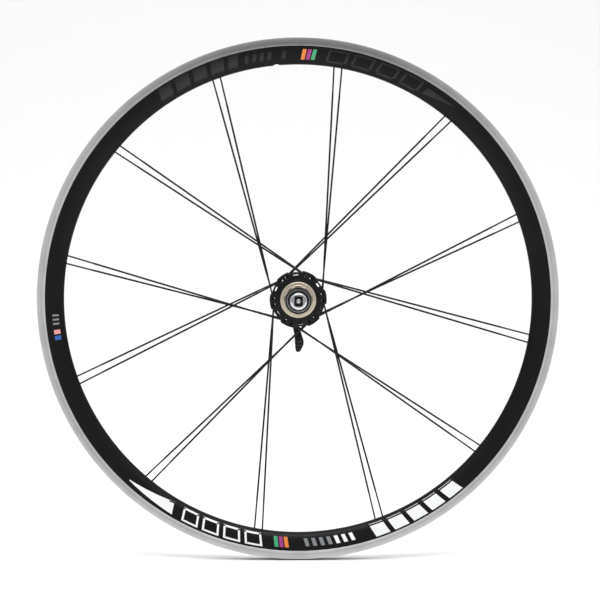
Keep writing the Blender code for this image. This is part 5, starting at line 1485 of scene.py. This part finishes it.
@dataclass
class Skewer:
    """The quick release: rod, cam, lever, cap, nut and two conical springs.

    Attributes:
        face: y of the clamping faces.
        cam_y: y of the cam's axis.
        rod_radius: radius of the rod.
        lever_length: length of the lever from the cam's axis to its tip.
    """

    face: float = 82.5 * MM
    cam_y: float = 94.8 * MM
    rod_radius: float = 2.5 * MM
    lever_length: float = 70.0 * MM

    def eye_ring(self) -> bpy.types.Object:
        """The rod's flat eye: a rounded frame in the YZ plane, 5 mm thick, with rounded rims."""
        centre = self.cam_y + 0.9 * MM
        turn = full_turn(64)
        cos, sin = (signed_power(f, 0.72) for f in (np.cos(turn), np.sin(turn)))
        y_mid, z_mid, wall, half = 4.45 * MM, 5.2 * MM, 1.0 * MM, 2.5 * MM
        path = np.stack([np.zeros(64), centre + y_mid * cos, z_mid * sin], axis=-1)
        hint = Vector((1.0, 0.0, 0.0))
        return sweep("rod_eye", path, np.full(64, half), np.full(64, wall), hint, 16, 0.45, True)

    def rod(self) -> bpy.types.Object:
        """The rod: radius 2.5 mm with a thread near the nut, joined to its eye.

        On the threaded length the radius is 2.5 - 0.28 (1 + cos(2 pi y / pitch - angle)) / 2 mm.
        """
        pitch, ends = 0.8 * MM, (-91.45 * MM, 91.6 * MM)
        thread = np.arange(ends[0] + 0.5 * MM, -72.0 * MM, 0.1 * MM)
        y = np.concatenate([[ends[0], ends[0] + 0.35 * MM], thread, [-71.5 * MM, 0.0, ends[1]]])
        turn = full_turn(28)
        radius = np.full(len(y), self.rod_radius)
        radius[0] = self.rod_radius - 0.4 * MM
        cut = np.zeros(len(y))
        cut[2:-3] = 0.28 * MM
        wave = 0.5 + 0.5 * np.cos(2.0 * np.pi * y[:, None] / pitch - turn[None, :])
        points = round_axle(radius[:, None] - cut[:, None] * wave, y[:, None], turn)
        bar = skin("skewer_rod_threaded", points, crease=60.0)
        return carve(bar, [self.eye_ring()], "UNION", 50.0)

    def cap(self) -> bpy.types.Object:
        """The cam housing: a turned cap, bored across for the cam and hollowed for the eye."""
        rows = [
            (0.0, 104.8, 0.0), (4.7, 104.6, 2.0), (8.4, 103.4, 1.6), (10.5, 100.8, 1.6),
            (10.5, 87.6, 0.3), (10.2, 87.3, 0.1), (10.2, 86.9, 0.1), (10.6, 86.4, 0.4),
            (12.3, 84.1, 0.5), (12.3, 82.8, 0.3), (10.8, 82.8, 0.2), (10.8, 84.8, 0.1),
            (0.0, 84.8, 0.0),
        ]
        cap = lathe("skewer_cap_turned", fine(rows, 4), 128)
        chamber = bpy.data.objects.new("chamber", bpy.data.meshes.new("chamber"))
        work = bmesh.new()
        bmesh.ops.create_cube(work, size=1.0)
        span = Vector((5.6 * MM, 18.0 * MM, 13.2 * MM))
        middle = Vector((0.0, 92.55 * MM, 0.0))
        for corner in work.verts:
            corner.co = Vector(a * b for a, b in zip(corner.co, span)) + middle
        work.to_mesh(chamber.data)
        work.free()
        bore = rod("cam_bore", (-15.0 * MM, self.cam_y, 0.0), (15.0 * MM, self.cam_y, 0.0), 4.8 * MM, 48)
        return carve(cap, [chamber, bore])

    def cap_face(self) -> bpy.types.Object:
        """The cap's steel ring, its face knurled by radial ridges."""
        return self.bite_ring("skewer_cap_face_ridged", 3.0 * MM, 10.5 * MM, self.face, 1.0)

    @staticmethod
    def bite_ring(name: str, inner: float, outer: float, y: float, outward: float) -> bpy.types.Object:
        """A steel ring whose face has 48 radial ridges, cut 0.25 mm deep: depth follows |sin(24 angle)|.

        Args:
            name: the object's name.
            inner: bore radius.
            outer: outer radius.
            y: place of the biting face.
            outward: direction away from the wheel, by sign.

        Returns:
            The ring, 2 mm thick.
        """
        turn = full_turn(384)[:, None]
        from_inner = [inner + d * MM for d in (0.0, 0.3, 2.2, 2.4)]
        near_outer = [outer - 0.3 * MM, outer, outer, outer - 0.3 * MM]
        radius = np.array(from_inner + near_outer + from_inner[1::-1])
        depth = np.array([0.3, 0.0, 0.0, 0.0, 0.0, 0.3, 1.7, 2.0, 2.0, 1.7]) * MM
        ridged = np.array([0.0, 0.0, 0.0, 1.0, 1.0, 0.0, 0.0, 0.0, 0.0, 0.0]) * 0.25 * MM
        y_all = y + outward * (depth[None, :] + ridged[None, :] * (1.0 - np.abs(np.sin(24.0 * turn))))
        return skin(name, round_axle(radius, y_all, turn), True)

    def cam_shaft(self) -> bpy.types.Object:
        """Two journals with the eccentric between them, and a stud for its nut."""
        rows = np.array(
            [
                (-16.1, 4.2, 0.0), (-15.8, 4.5, 0.0), (-3.02, 4.5, 0.0), (-3.0, 3.0, 0.9),
                (3.0, 3.0, 0.9), (3.02, 4.5, 0.0), (10.4, 4.5, 0.0), (10.7, 4.2, 0.0),
                (10.71, 2.25, 0.0), (13.8, 2.25, 0.0), (14.1, 1.9, 0.0),
            ]
        ) * MM
        turn = full_turn(48)[None, :]
        x = np.broadcast_to(rows[:, :1], (len(rows), 48))
        y = self.cam_y + rows[:, 2:] + rows[:, 1:2] * np.cos(turn)
        shaft = skin("cam_shaft_turned", np.stack([x, y, rows[:, 1:2] * np.sin(turn)], axis=-1))
        ends = [(x * MM, self.cam_y, 0.0) for x in (-17.0, -13.6)]
        socket = rod("cam_socket", *ends, 2.3 * MM, 6)
        return carve(shaft, [socket])

    def lever_section(self, share: np.ndarray) -> np.ndarray:
        """(x, width, y, thickness) of the lever at shares of its length, read off smooth curves.

        The curves pass through stations by cubic Hermite pieces with mean slopes.
        """
        table = np.array(
            [
                (0.06, -13.8, 4.6, 0.0, 6.0), (0.17, -13.1, 6.2, 0.6, 5.6), (0.29, -10.6, 7.6, 1.5, 4.8),
                (0.43, -6.0, 8.6, 2.2, 4.4), (0.57, -1.5, 8.8, 2.2, 4.2), (0.71, 0.9, 10.0, 1.4, 4.2),
                (0.83, 2.3, 11.3, 0.0, 4.6), (0.88, 2.1, 10.4, -0.8, 3.6), (0.95, 1.1, 7.4, -2.0, 3.0),
                (1.0, 0.6, 4.4, -2.6, 2.4),
            ]
        )
        at, value = table[:, 0], table[:, 1:] * MM
        slope = np.gradient(value, at, axis=0)
        k = np.clip(np.searchsorted(at, share, side="right") - 1, 0, len(at) - 2)
        gap = (at[k + 1] - at[k])[:, None]
        s = ((share - at[k]) / gap[:, 0])[:, None]
        h00, h10 = 2 * s**3 - 3 * s**2 + 1, s**3 - 2 * s**2 + s
        h01, h11 = -2 * s**3 + 3 * s**2, s**3 - s**2
        return h00 * value[k] + h10 * gap * slope[k] + h01 * value[k + 1] + h11 * gap * slope[k + 1]

    def lever(self) -> bpy.types.Object:
        """The forged lever: superellipse sections down a curved arm, a boss round the cam, scallops."""
        tip = [0.99, 0.995, 1.0]
        share = np.concatenate([np.linspace(0.06, 0.70, 34), np.linspace(0.705, 0.985, 72), tip])
        x, width, y, thick = self.lever_section(share).T
        grip = np.clip((share - 0.74) / 0.02, 0.0, 1.0) * np.clip((0.97 - share) / 0.02, 0.0, 1.0)
        wave = np.cos((share - 0.74) * self.lever_length / (2.6 * MM) * 2.0 * np.pi)
        ripple = 0.35 * MM * grip * (0.5 - 0.5 * wave)
        ends = np.ones(len(share))
        ends[-3:] = (0.94, 0.82, 0.55)
        sides = 40
        turn = full_turn(sides) + np.pi / sides
        cos, sin = (signed_power(f, 0.6) for f in (np.cos(turn), np.sin(turn)))
        across = x[:, None] + (width * ends)[:, None] / 2.0 * cos
        through = self.cam_y + y[:, None] + ((thick * ends) / 2.0 - ripple)[:, None] * sin
        along = np.broadcast_to(-self.lever_length * share[:, None], across.shape)
        arm = skin("lever_forged", np.stack([across, through, along], axis=-1))
        low, high = -16.4 * MM, -11.2 * MM
        boss = rod("lever_boss", (low, self.cam_y, 0.0), (high, self.cam_y, 0.0), 8.0 * MM, 64, 0.6 * MM)
        carve(arm, [boss], "UNION", 40.0)
        ends = [(x, self.cam_y, 0.0) for x in (low - 2.0 * MM, high + 2.0 * MM)]
        bore = rod("lever_bore", *ends, 4.8 * MM, 48)
        return carve(arm, [bore], crease=40.0)

    def grip_ribs(self) -> bpy.types.Object:
        """Raised ribs across both faces of the lever's leaf, bowed like its tip.

        Each rib is a half-round bar: its path runs from edge to edge at a share of the length,
        bowed by 1.6 mm (1 - u^2) towards the tip, and lies on the superellipse's face.
        """
        made = None
        u = np.linspace(-0.86, 0.86, 21)
        for share, wide in ((0.795, 0.62), (0.865, 0.5), (0.915, 0.4)):
            for face in (-1.0, 1.0):
                at = share + 1.6 * MM * (1.0 - u**2) / self.lever_length
                x, width, y, thick = self.lever_section(at).T
                rise = (1.0 - np.abs(u) ** (1.0 / 0.6)) ** 0.6
                through = self.cam_y + y + face * thick / 2.0 * rise
                path = np.stack([x + width / 2.0 * u, through, -self.lever_length * at], axis=-1)
                fade = np.sqrt(1.0 - np.abs(u) ** 6) * MM
                bar = sweep("lever_grip_ribs", path, wide * fade, 0.3 * fade, Vector((0.0, 0.0, 1.0)), 10)
                made = bar if made is None else join(made, bar)
        return made

    def lever_nut(self) -> bpy.types.Object:
        """The round dome nut on the cam shaft's stud, with two spanner flats."""
        rows = np.array([(11.0, 4.3), (11.3, 4.6), (13.4, 4.6), (14.1, 4.1), (14.4, 3.2)]) * MM
        turn = full_turn(48)[None, :]
        u = rows[:, 1:] * np.cos(turn)
        v = np.clip(rows[:, 1:] * np.sin(turn), -3.9 * MM, 3.9 * MM)
        x = np.broadcast_to(rows[:, :1], u.shape)
        nut = skin("lever_nut_domed", np.stack([x, self.cam_y + u, v], axis=-1))
        bore = rod("nut_bore", (9.0 * MM, self.cam_y, 0.0), (16.0 * MM, self.cam_y, 0.0), 2.55 * MM, 32)
        return carve(nut, [bore])

    def nut(self) -> bpy.types.Object:
        """The polished nut: a turned body with a deep rounded recess across its outer face."""
        rows = [
            (8.5, -82.8, 0.1), (9.6, -82.8, 0.2), (10.0, -83.2, 0.2), (10.0, -90.6, 0.9),
            (8.9, -93.2, 0.9), (6.6, -93.2, 0.1), (2.8, -93.2, 0.1), (2.8, -84.8, 0.1),
            (8.5, -84.8, 0.1),
        ]
        nut = lathe("skewer_nut_polished", fine(rows, 5), 160)
        corners = np.array([(5.1, 6.2), (-5.1, 6.2), (-5.1, -6.2), (5.1, -6.2)]) * MM
        outline = rounded(corners.tolist(), 2.8 * MM, 9)
        return carve(nut, [prism("recess", outline, -95.0 * MM, -88.2 * MM)])

    @staticmethod
    def darken_recess(nut: bpy.types.Object) -> None:
        """Second finish on the recess: |x| under 5.3 mm, |z| under 6.4 mm, and off the outer face."""
        x, y, z = face_middles(nut).T
        inside = (np.abs(x) < 5.3 * MM) & (np.abs(z) < 6.4 * MM) & (y > -93.1 * MM) & (y < -84.0 * MM)
        nut.data.polygons.foreach_set("material_index", inside.astype(np.int32))

    def insert(self) -> bpy.types.Object:
        """The nylon locking ring in the bottom of the recess."""
        rows = [(2.8, -88.5, 0.1), (2.8, -89.8, 0.2), (3.1, -90.1, 0.2)]
        rows += [(4.4, -90.1, 0.3), (4.8, -89.7, 0.3), (4.8, -88.5, 0.1)]
        return lathe("nut_insert_ring", fine(rows), 96)

    def spring(self, name: str, near: float, far: float) -> bpy.types.Object:
        """A conical spring: a wire on a helix whose radius grows from the axle's end outwards.

        At share s of its 3 turns the radius is 3.8 + 3.8 s mm and y goes evenly from end to end.
        """
        toward = math.copysign(1.0, far - near)
        start, end = near + toward * 0.75 * MM, far - toward * 0.75 * MM
        share = np.linspace(0.0, 1.0, 145)
        turn = np.radians(90.0 + 1080.0 * share)
        radius = (3.8 + 3.8 * share) * MM
        path = round_axle(radius, start + (end - start) * share, turn)
        wire = np.full(len(share), 0.45 * MM)
        return sweep(name, path, wire, wire, Vector((0.0, 1.0, 0.0)), 12)

    def install(self, shop: Workshop) -> None:
        """Builds, dresses and places every piece of the skewer."""
        stub = 77.5 * MM
        nut_face = self.bite_ring("nut_face_ridged", 3.0 * MM, 8.2 * MM, -self.face, -1.0)
        spring_left = self.spring("spring_left_wound", stub, self.face)
        spring_drive = self.spring("spring_drive_wound", -stub, -self.face)
        for piece, finish, body, slot, node in (
            (self.rod(), "ground_steel", "skewer_rod", "tool_steel", "skewer_rod"),
            (self.cap(), "hub_anodised", "skewer_cap", "hub_black", "skewer_cap"),
            (self.cap_face(), "tool_steel", "skewer_cap", "tool_steel", "skewer_cap_face"),
            (self.cam_shaft(), "ground_steel", "lever", "tool_steel", "cam_shaft"),
            (self.lever(), "lever_anodised", "lever", "lever_black", "lever"),
            (self.lever_nut(), "lever_anodised", "lever", "lever_black", "lever_nut"),
            (nut_face, "tool_steel", "nut", "tool_steel", "nut_face"),
            (self.insert(), "insert_nylon", "nut", "insert_nylon", "nut_insert"),
            (spring_left, "ground_steel", "skewer_cap", "race_steel", "spring_left"),
            (spring_drive, "ground_steel", "nut_carrier", "race_steel", "spring_drive"),
        ):
            shop.fit(shop.dress(piece, finish), body, slot, node)
        nut = shop.dress(self.nut(), "nut_polished", "nut_recess")
        self.darken_recess(nut)
        shop.fit(nut, "nut", "nut_polished", "nut")
        # the ribs are raised geometry; their lighter finish is a painted highlight
        shop.fit(shop.dress(self.grip_ribs(), "lever_ridge_painted_highlight"), "lever", "lever_black")


# ---------------------------------------------------------------------------------------------
# Studio
# ---------------------------------------------------------------------------------------------


@dataclass
class Studio:
    """Plain pale surroundings, soft light and the camera.

    Attributes:
        distance: from the rim's plane to the camera.
        elevation: camera height, as an angle seen from the axle.
        azimuth: camera's turn to the side.
        lens: focal length on a 36 mm sensor, in millimetres.
        shift: the lens's shift to the side and up.
        floor: height of the floor, just under the rim.
        gloom: brightness of the surroundings in front and at the sides.
    """

    distance: float = 2.3
    elevation: float = 1.75
    azimuth: float = -0.4
    lens: float = 113.15
    shift: tuple[float, float] = (0.00327, -0.00158)
    floor: float = -0.3185
    gloom: float = 0.22

    def camera(self) -> None:
        """A long lens that looks at the axle from a little above."""
        data = bpy.data.cameras.new("studio_camera")
        data.lens = self.lens
        data.sensor_width = 36.0
        data.shift_x, data.shift_y = self.shift
        data.clip_end = 50.0
        made = bpy.data.objects.new("studio_camera", data)
        bpy.context.scene.collection.objects.link(made)
        a, e = math.radians(self.azimuth), math.radians(self.elevation)
        back = Vector((math.sin(a) * math.cos(e), -math.cos(a) * math.cos(e), math.sin(e)))
        made.location = back * self.distance
        made.rotation_euler = (-back).to_track_quat("-Z", "Y").to_euler()
        bpy.context.scene.camera = made

    def lamp(
        self,
        name: str,
        place: tuple[float, float, float],
        size: tuple[float, float],
        power: float,
        aim: tuple[float, float, float] = (0.0, 0.0, 0.0),
    ) -> None:
        """A soft rectangular light that points at its aim."""
        data = bpy.data.lights.new(name, "AREA")
        data.shape = "RECTANGLE"
        data.size, data.size_y = size
        data.energy = power
        made = bpy.data.objects.new(name, data)
        bpy.context.scene.collection.objects.link(made)
        made.location = place
        made.rotation_euler = (Vector(aim) - Vector(place)).to_track_quat("-Z", "Y").to_euler()

    def world(self) -> None:
        """White surroundings, dimmer at the sides and in front: brightness rises with |z| and with y."""
        world = bpy.data.worlds.new("white_studio")
        world.use_nodes = True
        n = Nodes(world.node_tree)
        sky = world.node_tree.nodes["Background"]
        sky.inputs[0].default_value = (1.0, 1.0, 1.0, 1.0)
        split = n.add("ShaderNodeSeparateXYZ")
        n.link(n.add("ShaderNodeTexCoord").outputs["Generated"], split.inputs[0])
        behind = n.span(split.outputs["Y"], -0.1, 0.5, 0.0, 1.0)
        upright = n.span(n.math("ABSOLUTE", split.outputs["Z"]), 0.12, 0.55, 0.0, 1.0)
        glow = n.math("MULTIPLY_ADD", n.math("MAXIMUM", behind, upright), 1.0 - self.gloom, self.gloom)
        n.link(glow, sky.inputs[1])
        bpy.context.scene.world = world

    def cove(self) -> None:
        """A pale floor that curves up behind the wheel: straight, a quarter circle, straight."""
        radius, depth, height, half = 1.6, 2.4, 5.0, 6.0
        turn = np.linspace(0.0, np.pi / 2.0, 24)
        rise = self.floor + radius * (1.0 - np.cos(turn))
        curve = np.stack([depth + radius * np.sin(turn), rise], axis=-1)
        line = np.concatenate([[(-6.0, self.floor)], curve, [(depth + radius, height)]])
        points = np.concatenate([np.column_stack([np.full(len(line), x), line]) for x in (-half, half)])
        quads = grid_faces(2, len(line), False, False)
        mesh = bpy.data.meshes.new("studio_floor")
        mesh.from_pydata(points, [], quads.tolist())
        soften(mesh)
        floor = bpy.data.objects.new("studio_floor", mesh)
        bpy.context.scene.collection.objects.link(floor)
        paint = bpy.data.materials.new("studio_white")
        paint.use_nodes = True
        shader = paint.node_tree.nodes["Principled BSDF"]
        shader.inputs["Base Color"].default_value = (0.95, 0.95, 0.95, 1.0)
        shader.inputs["Roughness"].default_value = 0.9
        shader.inputs["Specular IOR Level"].default_value = 0.1
        floor.data.materials.append(paint)

    def install(self) -> None:
        """Sets up camera, lamps, surroundings and floor."""
        self.camera()
        self.world()
        self.cove()
        self.lamp("key_top", (0.1, -1.5, 2.3), (2.6, 1.4), 50.0)
        self.lamp("backdrop_wash", (0.0, 1.2, 3.6), (5.0, 2.0), 26.0, (0.0, 3.2, 0.2))
        bpy.context.scene.view_settings.view_transform = "Standard"


def main() -> None:
    """Builds the studio, then each sub-assembly in order."""
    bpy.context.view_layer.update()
    Studio().install()
    shop = Workshop()
    lacing = Lacing()
    hoop = RimHoop()
    hoop.install(shop, lacing)
    RimMarks(hoop).install(shop)
    SpokeSet().install(shop, lacing)
    HubShell().install(shop, lacing)
    Freehub().install(shop)
    AxleGroup().install(shop)
    Skewer().install(shop)
    bpy.context.view_layer.update()


if __name__ == "__main__":
    main()
